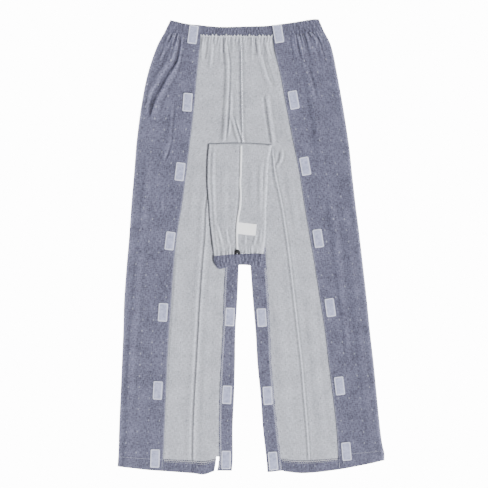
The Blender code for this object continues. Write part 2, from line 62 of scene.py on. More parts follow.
# Cloth and trim
WALL = 1.2
SEAM_GAP = 0.3
HALF_GAP = 0.02
BAND_WALL = 2.0
GATHER_SHOWN = 1.7
PATCH_WIDTH = 20.0
PATCH_LENGTH = 40.0
PATCH_WALL = 1.5
PATCH_CORNER = 2.5
LOOP_RADIUS = 2.7

# Levels of the layers, each a seam gap above the one it lies on
GROUND_TOP = WALL
SECOND = GROUND_TOP + SEAM_GAP
SECOND_TOP = SECOND + WALL
THIRD = SECOND_TOP + SEAM_GAP
FRONT_BAND = BAND_WALL + SEAM_GAP
FRONT_BAND_TOP = FRONT_BAND + BAND_WALL
FOLDED_TOP = 8.2
FOLDED_END_TOP = 6.0
FLAP = FOLDED_TOP + SEAM_GAP
FLAP_BAND = FOLDED_END_TOP + SEAM_GAP
FLAP_BAND_DROP = FOLDED_TOP - FOLDED_END_TOP
EDGE_MEET = 3.0
EDGE_WIDTH = 5.0
EDGE_TOP = 6.3
FLAT_MARGIN = 34.0
SLIT_WIDTH = 6.6
SLIT_TOP = -462.0
LEFT, RIGHT = 1, -1

# Gathers in each stretch of the waistbands, and where the grey back and the front panel start
BACK_GATHERS = 26
SIDE_GATHERS = {LEFT: 8, RIGHT: 10}
FLAP_GATHERS = 13
BACK_LEFT, BACK_WIDTH = -111, 159
FLAP_LEFT, FLAP_WIDTH = -82, 109

# Nominal heights on the sheet: waist seam, crotch, top of the turned-up hem and hem edge
WAIST = 463.0
CROTCH = 205.0
HEM_TOP = -468.0
HEM = -495.0

# Where the cut edges and creases of the back lie at each height, from left to right
Station = namedtuple(
    "Station", "y side_l wrap_l crease_l strip_l inner_l inner_r strip_r crease_r wrap_r side_r"
)
STATIONS = [
    Station(463, -190, -111, -62, -38, -21, -21, -8, 18, 48, 160),
    Station(433, -207, -113, -58, -35, -21, -21, -6, 22, 52, 176),
    Station(376, -228, -119, -47, -27, -20, -20, 0, 31, 65, 190),
    Station(306, -242, -125, -49, -27, -19, -19, 5, 40, 78, 203),
    Station(229, -252, -134, -60, -39, -18, -18, 11, 46, 93, 215),
    Station(205, -254, -137, -68, -44, -18, -18, 13, 48, 98, 218),
    Station(165, -257, -142, -84, -50, -20, -14, 18, 52, 106, 222),
    Station(95, -263, -151, -99, -52, -23, -10, 23, 67, 117, 230),
    Station(24, -268, -163, -103, -55, -25, -5, 30, 78, 129, 239),
    Station(-46, -274, -170, -109, -57, -27, -1, 34, 87, 141, 247),
    Station(-117, -279, -175, -114, -60, -30, 4, 39, 95, 152, 255),
    Station(-187, -281, -180, -118, -62, -34, 10, 42, 103, 163, 262),
    Station(-257, -284, -184, -122, -66, -35, 14, 45, 111, 171, 270),
    Station(-328, -287, -187, -126, -69, -37, 21, 51, 117, 180, 277),
    Station(-398, -290, -190, -129, -70, -40, 26, 58, 123, 188, 284),
    Station(-469, -292, -193, -130, -70, -40, 34, 66, 128, 192, 293),
    Station(-495, -293.5, -194, -130, -74, -42, 36, 69, 130, 193, 293.5),
]
WAIST_LINE = [
    (-190, 472), (-154, 468), (-112, 463), (-33, 462), (46, 462), (108, 469), (160, 475),
]
WAIST_TOP = [
    (-177, 498.5), (-136, 489.5), (-110, 487.5), (-68, 484), (-13, 485), (44, 487), (90, 493),
    (138, 500.5), (149, 500),
]
HEM_LINE = [
    (-293.5, -482), (-269, -485), (-231, -490), (-178, -494), (-126, -498), (-104, -500.5),
    (-81, -493), (-74, -492), (-42, -492), (36, -495), (68, -492), (76, -494), (116, -497.5),
    (182, -491), (243, -480), (293.5, -468),
]

# Folds of the side pieces: the deep diagonal one and the soft one beside it
Fold = namedtuple("Fold", "y deep_l soft_l deep_r soft_r")
FOLDS = [
    Fold(463, -155, -148, 130, 100),
    Fold(433, -157, -150, 148, 104),
    Fold(411, -170, -158, 158, 110),
    Fold(376, -188, -168, 160, 120),
    Fold(343, -206, -172, 168, 128),
    Fold(306, -216, -170, 176, 136),
    Fold(260, -222, -175, 184, 144),
    Fold(205, -226, -188, 192, 152),
    Fold(95, -232, -199, 206, 172),
    Fold(-46, -246, -222, 222, 192),
    Fold(-257, -262, -236, 246, 220),
    Fold(-495, -272, -246, 270, 246),
]

# The folded-down front panel: its edges and centre seam
FlapStation = namedtuple("FlapStation", "y left seam right")
FLAP_STATIONS = [
    FlapStation(228, -92, -21, 47),
    FlapStation(200, -95, -22, 41),
    FlapStation(164, -96, -23, 38),
    FlapStation(139, -96, -24, 37),
    FlapStation(101, -93, -23, 35),
    FlapStation(68, -91, -28, 34),
    FlapStation(46, -89, -31, 34),
    FlapStation(4, -84, -31, 31),
    FlapStation(-18, -82, -29, 27),
]
FLAP_FOLD_LINE = [(-92, 227), (-24, 229), (47, 225)]
FLAP_BAND_TOP = [(-82, -20), (-40, -16), (13, -14), (27, -15)]
FLAP_BAND_END = [(-78, -44), (-70, -46.5), (-54, -42), (-26, -37.5), (2, -39.5), (27, -43.5)]
FLAP_TURN_WIDTH = 6.0
FLAP_FOLD_DEPTH = 2.0

# Hook-and-loop patches: middle, and how far the lower end leans to the right
Patch = namedtuple("Patch", "name x y lean")
PATCHES = [
    Patch("outer_left_1", -127.5, 466.5, -7.5), Patch("outer_left_2", -139.5, 318.0, -4.0),
    Patch("outer_left_3", -156.0, 165.5, -7.0), Patch("outer_left_4", -178.0, 13.5, -7.0),
    Patch("outer_left_5", -193.5, -143.5, -4.0), Patch("outer_left_6", -205.0, -315.0, -3.0),
    Patch("outer_left_7", -211.0, -464.5, -2.0),
    Patch("outer_right_1", 60.0, 468.5, 9.0), Patch("outer_right_2", 93.5, 323.0, 10.0),
    Patch("outer_right_3", 119.0, 177.5, 10.0), Patch("outer_right_4", 147.5, 19.0, 9.0),
    Patch("outer_right_5", 174.0, -133.0, 8.0), Patch("outer_right_6", 194.5, -305.0, 7.0),
    Patch("outer_right_7", 209.5, -449.0, 5.0),
    Patch("inner_left_1", -46.5, -153.5, -2.5), Patch("inner_left_2", -53.0, -324.5, -2.5),
    Patch("inner_left_3", -55.0, -467.5, -1.0),
    Patch("inner_right_1", 23.5, -155.0, 4.0), Patch("inner_right_2", 36.5, -326.5, 4.0),
    Patch("inner_right_3", 48.5, -470.0, 5.0),
]

# Creases given one by one: the line each follows, its height, and its width to left and right
Crease = namedtuple("Crease", "path rise left right taper")
BACK_CREASES = [
    # Seat: pleats that fan out from the waist
    Crease([(-61.6, 468.6), (-60.7, 424.6)], -1.8, 2.4, 2.4, 10),
    Crease(
        [(-56.5, 455.4), (-50.2, 411.4), (-49.7, 374), (-51.9, 323.4), (-58.3, 228.8)], 2.4, 9, 3.6, 16,
    ),
    Crease(
        [(-52.4, 440), (-46.4, 411), (-45.7, 374), (-47.6, 323.4), (-53.4, 240)], -1.2, 2.0, 2.4, 14,
    ),
    Crease([(-48.6, 350), (-44.4, 323.4), (-49.6, 240)], 1.2, 2.2, 8, 20),
    Crease([(-21.3, 455.4), (-20.5, 347.6), (-19.4, 290.4), (-17.6, 228.8)], 1.7, 3.0, 3.0, 6),
    Crease([(-26, 455), (-25, 348), (-24, 290), (-22, 240)], -0.5, 3, 2, 12),
    Crease([(8.8, 459.8), (11.7, 425)], -1.8, 2.4, 2.4, 8),
    Crease([(16.3, 459.8), (18.9, 415.8)], 1.8, 5, 5, 12),
    Crease([(26.4, 429), (36.7, 391.6), (51.9, 347.6)], -1.3, 5, 9, 20),
    Crease([(19, 429), (28.7, 391.6), (41.9, 350)], 0.9, 9, 6, 24),
    Crease([(28.4, 334), (35.2, 279.4), (43.3, 226.6)], -1.6, 4, 3, 14),
    Crease([(35.2, 338), (42.5, 279.4), (50.6, 222.2)], 1.6, 6, 9, 16),
    Crease([(-43, 296), (-34, 259.6), (-23.5, 226.6)], 2.2, 6, 2.6, 16),
    Crease([(-39, 290), (-30, 259.6), (-19.5, 226.6)], -1.4, 2.0, 2.0, 12),
    Crease([(-35.5, 284), (-26.5, 257), (-16, 226.6)], 1.9, 2.0, 7, 14),
    Crease([(69.3, 213.4), (66, 190.3), (55.9, 173.8)], 1.8, 6, 6, 10),
    Crease([(62.7, 213.4), (59.4, 190.3), (49.7, 173.8)], -1.0, 4, 4, 8),
    Crease([(-84, 452), (-86, 424), (-90, 392)], 1.1, 5, 5, 14),
    Crease([(-96, 452), (-98, 430), (-101, 410)], -1.2, 3.5, 3.5, 10),
    Crease([(32, 456), (36, 436), (43, 414)], 1.2, 5, 5, 12),
    # Slow rolls down the legs
    Crease([(-160.6, 15.4), (-165, -182.6), (-173.8, -446.6)], 0.9, 24, 24, 90),
    Crease([(-83.6, -6.6), (-96.8, -182.6), (-101.2, -446.6)], 0.5, 14, 14, 80),
    Crease([(50.6, -6.6), (66, -182.6), (85.8, -446.6)], 0.9, 18, 18, 90),
    Crease([(127.6, -72.6), (143, -248.6), (165, -446.6)], 0.7, 16, 14, 80),
    Crease([(45, 204), (47, 165), (52, 125)], -1.6, 3, 4, 16),
    Crease([(-118, 190), (-124, 120), (-132, 40)], 0.8, 14, 14, 50),
    Crease([(82, 180), (92, 110), (108, 20)], 0.8, 12, 12, 50),
]
SIDE_CREASES = [
    # Left: a deep diagonal fold from the waistband, and soft ones below it
    Crease(
        [
            (-154, 468.6), (-158.4, 433.4), (-166.3, 407), (-182.6, 385),
            (-200.2, 354.2), (-215.6, 325.6), (-224.4, 288.2),
        ],
        -2.4, 5, 5, 20,
    ),
    Crease(
        [
            (-146.2, 468.6), (-150.2, 433.4), (-157.2, 407), (-173.9, 380.6),
            (-191.1, 349.8), (-206.5, 319), (-216.6, 279.4),
        ],
        3.0, 8, 15, 20,
    ),
    Crease(
        [
            (-163, 464.2), (-167.4, 433.4), (-175.3, 411.4), (-191.6, 389.4),
            (-209.2, 358.6), (-224.6, 330), (-233.4, 292.6),
        ],
        1.8, 14, 7, 24,
    ),
    Crease([(-166.3, 316.8), (-170.3, 264), (-174.2, 224.4), (-190.1, 184.8)], -1.4, 5, 4, 20),
    Crease([(-159.3, 316.8), (-163.2, 264), (-167.2, 224.4), (-182.6, 184.8)], 1.4, 6, 8, 22),
    Crease([(-195.8, 107.8), (-192.7, 72.6), (-195.4, 37.4)], 1.1, 4, 4, 14),
    Crease([(-189.6, 107), (-187, 74), (-189.6, 38)], -0.9, 2.4, 2.4, 12),
    Crease([(-183.5, 103.4), (-181.7, 74.8), (-183.5, 41.8)], 1.0, 4, 4, 12),
    Crease([(-222.2, 213.4), (-228.8, 125.4), (-237.6, 37.4)], 1.0, 13, 13, 60),
    Crease([(-244.2, -6.6), (-250.8, -116.6), (-259.6, -226.6), (-266.2, -358.6)], 0.9, 12, 14, 70),
    Crease([(-132, 450), (-136, 420), (-140, 390)], 1.3, 6, 6, 16),
    Crease([(-176, 458), (-186, 436), (-200, 410)], 1.5, 6, 6, 16),
    # Right: pleats that run out of the waistband to the outer edge
    Crease([(114.4, 484), (123.2, 473), (134.2, 457.6)], -2.0, 4, 4, 8),
    Crease([(123.2, 484), (135.5, 470.8), (146.3, 459.8), (151.8, 448.8)], -2.0, 4, 4, 8),
    Crease([(119.9, 484), (129.8, 470.8), (140.8, 455.4), (145.2, 433.4)], 2.2, 5, 5, 12),
    Crease([(99, 470.8), (107.8, 446.6), (116.6, 411.4)], 1.8, 7, 7, 16),
    Crease([(84, 468), (90, 446), (97, 420)], 1.4, 5, 5, 14),
    Crease([(107.8, 433.4), (129.8, 367.4), (147.4, 279.4), (158.4, 191.4)], 1.1, 16, 18, 70),
    Crease([(169.4, 147.4), (187, 15.4), (200.2, -116.6), (215.6, -292.6)], 1.0, 13, 13, 80),
    Crease([(123.2, 411.4), (138.6, 358.6), (149.6, 314.6)], -1.0, 8, 6, 30),
]
FLAP_CREASES = [
    Crease(
        [
            (-86.7, 222.2), (-90.2, 180.4), (-89.3, 103.4),
            (-84.9, 24.2), (-80.1, -6.6),
        ],
        -1.2, 2.6, 2.6, 14,
    ),
    Crease([(-80.5, 222.2), (-83.2, 180.4), (-82.3, 103.4), (-77.9, 24.2), (-73.5, -6.6)], 1.0, 4, 8, 20),
    Crease(
        [
            (-24.2, 224.4), (-25.6, 164), (-27, 110),
            (-31, 68), (-34, 40), (-34.2, 4),
        ],
        -1.3, 2.2, 2.4, 10,
    ),
    Crease([(37.4, 218), (29.5, 165), (28.6, 112.2)], -1.2, 4, 4, 20),
    Crease([(24, 190), (22, 120), (23, 60)], 0.8, 8, 8, 30),
    Crease([(-55, 191.4), (-57.2, 125.4), (-55, 37.4)], 0.8, 12, 12, 40),
    Crease([(6.6, 191.4), (4.4, 136.4), (6.6, 81.4)], 0.8, 11, 11, 40),
    Crease([(-62, 2), (-68, 26), (-76, 56)], 1.3, 5, 5, 14),
    Crease([(-48, 2), (-51, 20), (-55, 44)], 1.1, 4, 4, 12),
    Crease([(-14, 2), (-12, 14), (-12, 26)], 1.1, 4, 4, 8),
    Crease([(6, 2), (9, 14), (13, 28)], 1.2, 5, 5, 8),
    Crease([(20, 2), (22, 20), (24, 44)], 1.0, 5, 5, 14),
]


def follow(rows, at):
    """Reads a smooth curve through (position, value) rows, held level past its ends."""
    if at <= rows[0][0]:
        return rows[0][1]
    if at >= rows[-1][0]:
        return rows[-1][1]
    k = bisect_right([row[0] for row in rows], at) - 1
    low, high = rows[k], rows[k + 1]
    before, after = rows[max(k - 1, 0)], rows[min(k + 2, len(rows) - 1)]
    span = high[0] - low[0]
    rise_low = (high[1] - before[1]) / (high[0] - before[0]) * span
    rise_high = (after[1] - low[1]) / (after[0] - low[0]) * span
    t = (at - low[0]) / span
    return (
        low[1] * (1 + 2 * t) * (1 - t) ** 2 + rise_low * t * (1 - t) ** 2
        + high[1] * t * t * (3 - 2 * t) + rise_high * t * t * (t - 1)
    )


def curve(rows):
    """The same curve, read at any number of positions at once."""
    at = np.linspace(rows[0][0], rows[-1][0], 400)
    values = [follow(rows, float(a)) for a in at]
    return lambda wanted: np.interp(wanted, at, values)


def rails_of(table):
    """Turns a table of stations into one curve for each column."""
    rows = sorted(table)
    return {name: curve([(row.y, getattr(row, name)) for row in rows]) for name in table[0]._fields[1:]}


BACK = rails_of(STATIONS)
SIDE_FOLDS = rails_of(FOLDS)
FLAP_RAILS = rails_of(FLAP_STATIONS)
waist_line = curve(WAIST_LINE)
waist_top = curve(WAIST_TOP)
hem_line = curve(HEM_LINE)
flap_fold_line = curve(FLAP_FOLD_LINE)
flap_band_top = curve(FLAP_BAND_TOP)
flap_band_end = curve(FLAP_BAND_END)


def fade(value, start, end):
    """Goes smoothly from 0 at start to 1 at end, in either direction."""
    t = np.clip((value - start) / (end - start), 0.0, 1.0)
    return t * t * (3 - 2 * t)


def bump(x, middle, left, right):
    """A soft roll of height 1, with its own width on each side."""
    away = np.where(x < middle, (middle - x) / left, (x - middle) / right)
    return np.clip(1 - away ** 2, 0.0, 1.0) ** 2


def waves(t, count, start=0.0):
    """Uneven gathers, from 0 in the troughs to 1, count of them as t goes from 0 to 1."""
    wander = 0.22 * np.sin(17.0 * t + start) + 0.13 * np.sin(41.0 * t + 2.0 * start)
    return 0.5 - 0.5 * np.cos(2 * math.pi * (count * t + wander) + start)


def rolls(x, y, seed):
    """Slow unevenness of cloth that was folded and has been opened out, from -1 to 1."""
    return (
        0.5 * np.sin(x / 31.0 + y / 83.0 + seed) + 0.3 * np.sin(y / 47.0 - x / 59.0 + 2 * seed)
        + 0.2 * np.sin(x / 17.0 - y / 29.0 + 3 * seed)
    )


# Creases are drawn this much higher than their rows say, so that they show in flat light
CREASE_GAIN = 1.7


def creased(table, x, y):
    """The height that the creases of a table add at points of the cloth."""
    total = np.zeros_like(x)
    for crease in table:
        rows = sorted((py, px) for px, py in crease.path)
        middle = curve(rows)(y)
        ends = fade(y, rows[0][0] - 1, rows[0][0] + crease.taper)
        ends = ends * fade(y, rows[-1][0] + 1, rows[-1][0] - crease.taper)
        total += CREASE_GAIN * crease.rise * ends * bump(x, middle, crease.left, crease.right)
    return total


def on_sheet(x, height):
    """The true y of a nominal height, with the waist and the hem on their own lines."""
    to_waist = fade(height, WAIST - 120, WAIST) * (waist_line(x) - WAIST)
    to_hem = fade(height, HEM + 70, HEM) * (hem_line(x) - HEM)
    return height + to_waist + to_hem


def off_sheet(x, y):
    """The nominal height of a true y."""
    height = np.array(y, float)
    for _ in range(8):
        height = height + y - on_sheet(x, height)
    return height


def eased(distance, reach=1.0, drop=0.5):
    """How far the top of the cloth rounds down near a free edge."""
    t = np.clip(1 - distance / reach, 0.0, 1.0)
    return drop * (1 - np.sqrt(1 - t * t))


def spaced(counts, first, last):
    """Columns between rails, as (rail, share, offset): counts[k] of them from rail k to the next.

    first and last are the closer ones at the two edges, as offsets in millimetres.
    """
    whole = [(0, 0.0, offset) for offset in first]
    for k, count in enumerate(counts):
        for m in range(0 if k else 1, count):
            share = m / count
            offset = first[-1] * (1 - share) * (k == 0) + last[0] * share * (k == len(counts) - 1)
            whole.append((k, share, offset))
    whole += [(len(counts) - 1, 1.0, offset) for offset in last]
    return [np.array(column) for column in zip(*whole)]


def between_rails(rails, low, share):
    """Reads the place of each point between its two rails, given as one row of places a rail."""
    rails = np.stack(rails)
    point = np.arange(rails.shape[1])
    return rails[low, point] * (1 - share) + rails[low + 1, point] * share


EDGE_ANGLES = np.radians([0, 12, 25, 40, 57, 74, 90])
EDGE_SHIFT = 1 - np.cos(EDGE_ANGLES)
EDGE_RISE = np.sin(EDGE_ANGLES)
# Closer columns next to a free edge, and the rail that the slit starts from
FREE_STEPS = [-2.0, -1.0, -0.55, -0.2, 0.0]
SLIT_RAIL = 6


def edge_top(height):
    """How high the rounded outer edge stands: lower where the waistband holds it flat."""
    lift = fade(height, WAIST - 62, WAIST - 32)
    low = EDGE_MEET + SEAM_GAP
    return low + (EDGE_TOP - low) * (1 - 0.5 * lift)


def side_key(toward):
    """The ending of a side's columns in the tables."""
    return "_l" if toward == LEFT else "_r"


def sided(stem, toward):
    """The name of a part that each side has."""
    return stem + ("_left" if toward == LEFT else "_right")


def pressed(toward, x, height):
    """The pressed crease down the middle of a leg: a sharp cleft beside a soft roll."""
    away = x - BACK["crease" + side_key(toward)](height)
    if toward == LEFT:
        along = fade(height, 128, 100)
        beside = 0.9 * bump(away, -4.4, 12, 4.0) + 1.9 * bump(away, 4.2, 3.4, 13)
        return along * beside - 3.4 * fade(height, 118, 106) * bump(away, 0, 2.3, 2.3)
    along = fade(height, 232, 190)
    roll = 1.7 * bump(away, 0, 2.8, 3.2) + 0.6 * bump(away, 7, 6, 12)
    return along * (roll - 0.5 * bump(away, -4.4, 3.0, 2.0))


def back_relief(toward, x, y, height):
    """How far the top of a back panel stands above its plain wall, only where it is open."""
    side = side_key(toward)
    wrap, strip = BACK["wrap" + side](height), BACK["strip" + side](height)
    shown = fade((x - wrap) * toward, 1.0, 7.0)
    below = fade(height, CROTCH + 6, CROTCH - 14)
    shown = shown * (1 - below * fade((strip - x) * toward, 5.0, 0.5))
    shown = shown * fade(height, HEM_TOP - 3, HEM_TOP + 8)
    t = (x - BACK_LEFT) / BACK_WIDTH
    waist = waist_line(x)
    reach = 17 + 9 * np.sin(61 * t) + 5 * np.sin(23 * t + 1)
    uneven = 0.7 + 0.3 * np.sin(47 * t + 1) * np.sin(83 * t)
    gathers = waves(t + (waist - y) / 900, BACK_GATHERS) ** 0.9
    pucker = 3.8 * uneven * gathers * fade(y, waist - reach - 10, waist - 2)
    pucker = pucker * (1 - 0.5 * fade(y, waist - 7, waist - 0.5))
    pucker = pucker + 1.6 * waves(t, 9, 0.5) * fade(y, waist - 70, waist - 10)
    raised = creased(BACK_CREASES, x, y) + pucker + 0.5 * rolls(x, y, 1.3) + 0.25
    raised = raised + pressed(toward, x, height)
    covered = fade(x, -104, -97) * fade(x, 54, 47) * fade(y, -54, -47) * fade(y, 236, 229)
    most = np.where(covered > 0, 4.2 - 2.7 * covered, 4.2)
    return shown * np.clip(raised, -0.85, most)


def back_top(toward, x, y, height):
    """The upper face of a back panel."""
    return GROUND_TOP + back_relief(toward, x, y, height)


def hem_height(toward):
    """The nominal height of the stitches that hold the hem of a side piece."""
    return HEM + (26.0 if toward == LEFT else 35.0)


def side_floor(toward, x, y, height):
    """The lower face of a side piece: flat along its free edge, puffed towards its fold."""
    side = side_key(toward)
    start = BACK["side" + side](height) + toward * EDGE_WIDTH
    end = BACK["wrap" + side](height) - toward * FLAT_MARGIN
    lift = fade(height, WAIST - 62, WAIST - 32)
    base = SECOND + (FRONT_BAND_TOP - SECOND_TOP) * lift
    top = edge_top(height) - WALL
    z = base + (top - base) * (1 - fade(x, start, end))
    deep, soft = SIDE_FOLDS["deep" + side](height), SIDE_FOLDS["soft" + side](height)
    within = fade((x - start) * toward, 2, 12) * fade((end - x) * toward, 2, 14)
    fold = 1.0 * fade(height, 170, 200) * fade(height, 330, 300) * bump(x, soft, 11, 11)
    fold = fold + 0.9 * fade(height, 110, 80) * bump(x, deep, 12, 12)
    count = SIDE_GATHERS[toward]
    t = (x - start) / (end - start)
    reach = 20 + 9 * np.sin(37 * t + 1) + 6 * np.sin(71 * t)
    waist = waist_line(x)
    pucker = 2.5 * waves(t, count + 5, 0.7) ** 1.2 * fade(y, waist - reach - 12, waist - 2)
    pucker = pucker * (1 - 0.5 * fade(y, waist - 7, waist - 0.5))
    pucker = pucker + 2.2 * waves(t, 5, 1.9) * fade(y, waist - 95, waist - 12)
    raised = fold + creased(SIDE_CREASES, x, y) + pucker + 0.55 * rolls(x, y, 0.4)
    hem = 0.5 * fade(height, hem_height(toward) + 1, hem_height(toward) - 1.5)
    return z + within * np.clip(raised, -1.6, 5.0) + hem * fade(height, HEM, HEM + 6)


def side_top(toward, x, y, height):
    """The upper face of a side piece."""
    return side_floor(toward, x, y, height) + WALL


def flap_floor(y):
    """The lower face of the front panel, which comes down to its waistband."""
    return FLAP - FLAP_BAND_DROP * fade(y, 5, -14)


def flap_relief(x, y):
    """How far the top of the front panel stands above its plain wall."""
    t = (x - FLAP_LEFT) / FLAP_WIDTH
    reach = 19 + 9 * np.sin(43 * t) + 5 * np.sin(19 * t)
    pucker = 2.4 * waves(t, FLAP_GATHERS, 1.0) ** 1.5 * fade(y, reach - 16, -14)
    raised = pucker + creased(FLAP_CREASES, x, y) + 0.45 * rolls(x, y, 2.1) + 0.2
    return np.clip(raised, -0.85, 2.6)


def flap_top(x, y):
    """The upper face of the front panel."""
    return flap_floor(y) + WALL + flap_relief(x, y)


def linear(text):
    """Turns an sRGB hex colour into linear light."""
    parts = [int(text[k:k + 2], 16) / 255 for k in (1, 3, 5)]
    return tuple(p / 12.92 if p <= 0.04045 else ((p + 0.055) / 1.055) ** 2.4 for p in parts)


def add_node(tree, kind, links=None, **settings):
    """Adds a node with its settings, its inputs (in_Scale by name, in_6 by number) and its links."""
    node = tree.nodes.new(kind)
    for name, value in settings.items():
        if name.startswith("in_"):
            key = name[3:]
            node.inputs[int(key) if key.isdigit() else key.replace("_", " ")].default_value = value
        else:
            setattr(node, name, value)
    for key, source in (links or {}).items():
        tree.links.new(source, node.inputs[key])
    return node


def new_material(name, roughness):
    """A Principled material and its tree, with plastic's gloss left out as on cloth."""
    made = bpy.data.materials.new(name)
    made.use_nodes = True
    shader = made.node_tree.nodes["Principled BSDF"]
    shader.inputs["Roughness"].default_value = roughness
    shader.inputs["IOR"].default_value = 1.46
    return made, made.node_tree, shader


def dressed(tree, shader, share, light, dark, height, strength, depth):
    """Colours a surface between two yarns by share, and raises it by height, depth in metres."""
    colour = add_node(
        tree, "ShaderNodeMix", {"Factor": share}, data_type="RGBA", in_6=(*dark, 1), in_7=(*light, 1)
    )
    lump = add_node(tree, "ShaderNodeBump", {"Height": height}, in_Strength=strength, in_Distance=depth)
    tree.links.new(colour.outputs[2], shader.inputs["Base Color"])
    tree.links.new(lump.outputs[0], shader.inputs["Normal"])


# A wave texture turns 20 radians a unit, so 900 units a metre lay threads 0.35 mm apart, their real size
THREAD_SCALE = 900


def woven(name, light, dark, dot, dot_strength, sheen, painted_shade_strength, looks):
    """Cotton double cloth: a plain weave of dyed and white yarn, washed soft.

    The two yarns side by side give a heathered colour with no gloss and a faint nap at grazing
    light, and small figures stand in a grid where the two faces are caught together.
    """
    made, tree, shader = new_material(name, 0.93)
    shader.inputs["Sheen Weight"].default_value = sheen
    shader.inputs["Sheen Roughness"].default_value = 0.5
    where = add_node(tree, "ShaderNodeUVMap", uv_map="cloth").outputs["UV"]
    # Slubs and uneven dye: the warp's 2.4 mm wide and 7 mm long, the weft's 7 mm wide and 2 mm high
    slub_at = add_node(
        tree, "ShaderNodeVectorMath", {0: where}, operation="MULTIPLY", in_1=(420, 140, 1)
    )
    slub = add_node(
        tree, "ShaderNodeTexNoise", {"Vector": slub_at.outputs[0]}, in_Scale=1.0, in_Detail=3.0
    )
    weft_at = add_node(
        tree, "ShaderNodeVectorMath", {0: where}, operation="MULTIPLY", in_1=(150, 520, 1)
    )
    weft = add_node(
        tree, "ShaderNodeTexNoise", {"Vector": weft_at.outputs[0]}, in_Scale=1.0, in_Detail=3.0
    )
    cloud = add_node(tree, "ShaderNodeTexNoise", {"Vector": where}, in_Scale=26.0, in_Detail=2.0)
    both = add_node(
        tree, "ShaderNodeMath", {0: slub.outputs[0], 1: weft.outputs[0]}, operation="ADD"
    )
    three = add_node(
        tree, "ShaderNodeMath", {0: cloud.outputs[0], 2: both.outputs[0]},
        operation="MULTIPLY_ADD", in_1=0.5,
    )
    shade = add_node(tree, "ShaderNodeMapRange", {"Value": three.outputs[0]}, in_1=0.92, in_2=1.58)
    ground = add_node(
        tree, "ShaderNodeMix", {"Factor": shade.outputs[0]}, data_type="RGBA",
        in_6=(*dark, 1), in_7=(*light, 1),
    )
    # Figures of the weave in a grid, each a short stroke along the grain
    cell_at = add_node(
        tree, "ShaderNodeVectorMath", {0: where}, operation="MULTIPLY",
        in_1=(1 / looks.dot_across, 1 / looks.dot_along, 1),
    )
    cell = add_node(tree, "ShaderNodeVectorMath", {0: cell_at.outputs[0]}, operation="FLOOR")
    chance = add_node(
        tree, "ShaderNodeTexWhiteNoise", {"Vector": cell.outputs[0]}, noise_dimensions="2D"
    )
    inside = add_node(tree, "ShaderNodeVectorMath", {0: cell_at.outputs[0]}, operation="FRACTION")
    jitter = add_node(
        tree, "ShaderNodeVectorMath", {0: chance.outputs["Color"], 2: inside.outputs[0]},
        operation="MULTIPLY_ADD", in_1=(0.05, 0.05, 0),
    )
    middle = add_node(
        tree, "ShaderNodeVectorMath", {0: jitter.outputs[0]}, operation="SUBTRACT",
        in_1=(0.525, 0.525, 0),
    )
    size = add_node(
        tree, "ShaderNodeVectorMath", {0: middle.outputs[0]}, operation="MULTIPLY",
        in_1=(looks.dot_across / looks.dot_width * 2, looks.dot_along / looks.dot_length * 2, 0),
    )
    rough_edge = add_node(
        tree, "ShaderNodeVectorMath", {0: slub.outputs["Color"], 2: size.outputs[0]},
        operation="MULTIPLY_ADD", in_1=(0.5, 0.5, 0),
    )
    centred = add_node(
        tree, "ShaderNodeVectorMath", {0: rough_edge.outputs[0]}, operation="SUBTRACT",
        in_1=(0.25, 0.25, 0),
    )
    away = add_node(tree, "ShaderNodeVectorMath", {0: centred.outputs[0]}, operation="LENGTH")
    spot = add_node(
        tree, "ShaderNodeMapRange", {"Value": away.outputs["Value"]},
        interpolation_type="SMOOTHSTEP", in_1=1.25, in_2=0.65, in_3=0.0, in_4=dot_strength,
    )
    faded = add_node(
        tree, "ShaderNodeMapRange", {"Value": chance.outputs["Value"]}, in_3=0.05, in_4=1.0
    )
    amount = add_node(
        tree, "ShaderNodeMath", {0: spot.outputs[0], 1: faded.outputs[0]}, operation="MULTIPLY"
    )
    figured = add_node(
        tree, "ShaderNodeMix", {"Factor": amount.outputs[0], 6: ground.outputs[2]},
        data_type="RGBA", in_7=(*dot, 1),
    )
    # Painted shade and highlight: the colour is darkened in the creases and paled on the ridges, by how
    # far each point stands above the cloth round it
    painted_crease_shade = add_node(tree, "ShaderNodeAttribute", attribute_name="relief")
    painted_shade_factor = add_node(
        tree, "ShaderNodeMapRange", {"Value": painted_crease_shade.outputs["Fac"]},
        in_1=-1.0, in_2=1.0, in_3=1 - painted_shade_strength, in_4=1 + painted_shade_strength / 2,
    )
    colour = add_node(
        tree, "ShaderNodeVectorMath", {0: figured.outputs[2], 1: painted_shade_factor.outputs[0]},
        operation="MULTIPLY",
    )
    tree.links.new(colour.outputs[0], shader.inputs["Base Color"])
    thread_at = add_node(
        tree, "ShaderNodeVectorMath", {0: where}, operation="MULTIPLY",
        in_1=(THREAD_SCALE, THREAD_SCALE, 1),
    )
    warp, fill = (
        add_node(
            tree, "ShaderNodeTexWave", {"Vector": thread_at.outputs[0]}, wave_type="BANDS",
            bands_direction=way, in_Scale=1.0, in_Distortion=0.6,
        )
        for way in "XY"
    )
    weave = add_node(
        tree, "ShaderNodeMath", {0: warp.outputs["Fac"], 1: fill.outputs["Fac"]},
        operation="MULTIPLY",
    )
    relief = add_node(
        tree, "ShaderNodeMath", {0: both.outputs[0], 2: weave.outputs[0]},
        operation="MULTIPLY_ADD", in_1=0.8,
    )
    lump = add_node(
        tree, "ShaderNodeBump", {"Height": relief.outputs[0]}, in_Strength=0.7, in_Distance=0.0007
    )
    tree.links.new(lump.outputs[0], shader.inputs["Normal"])
    return made


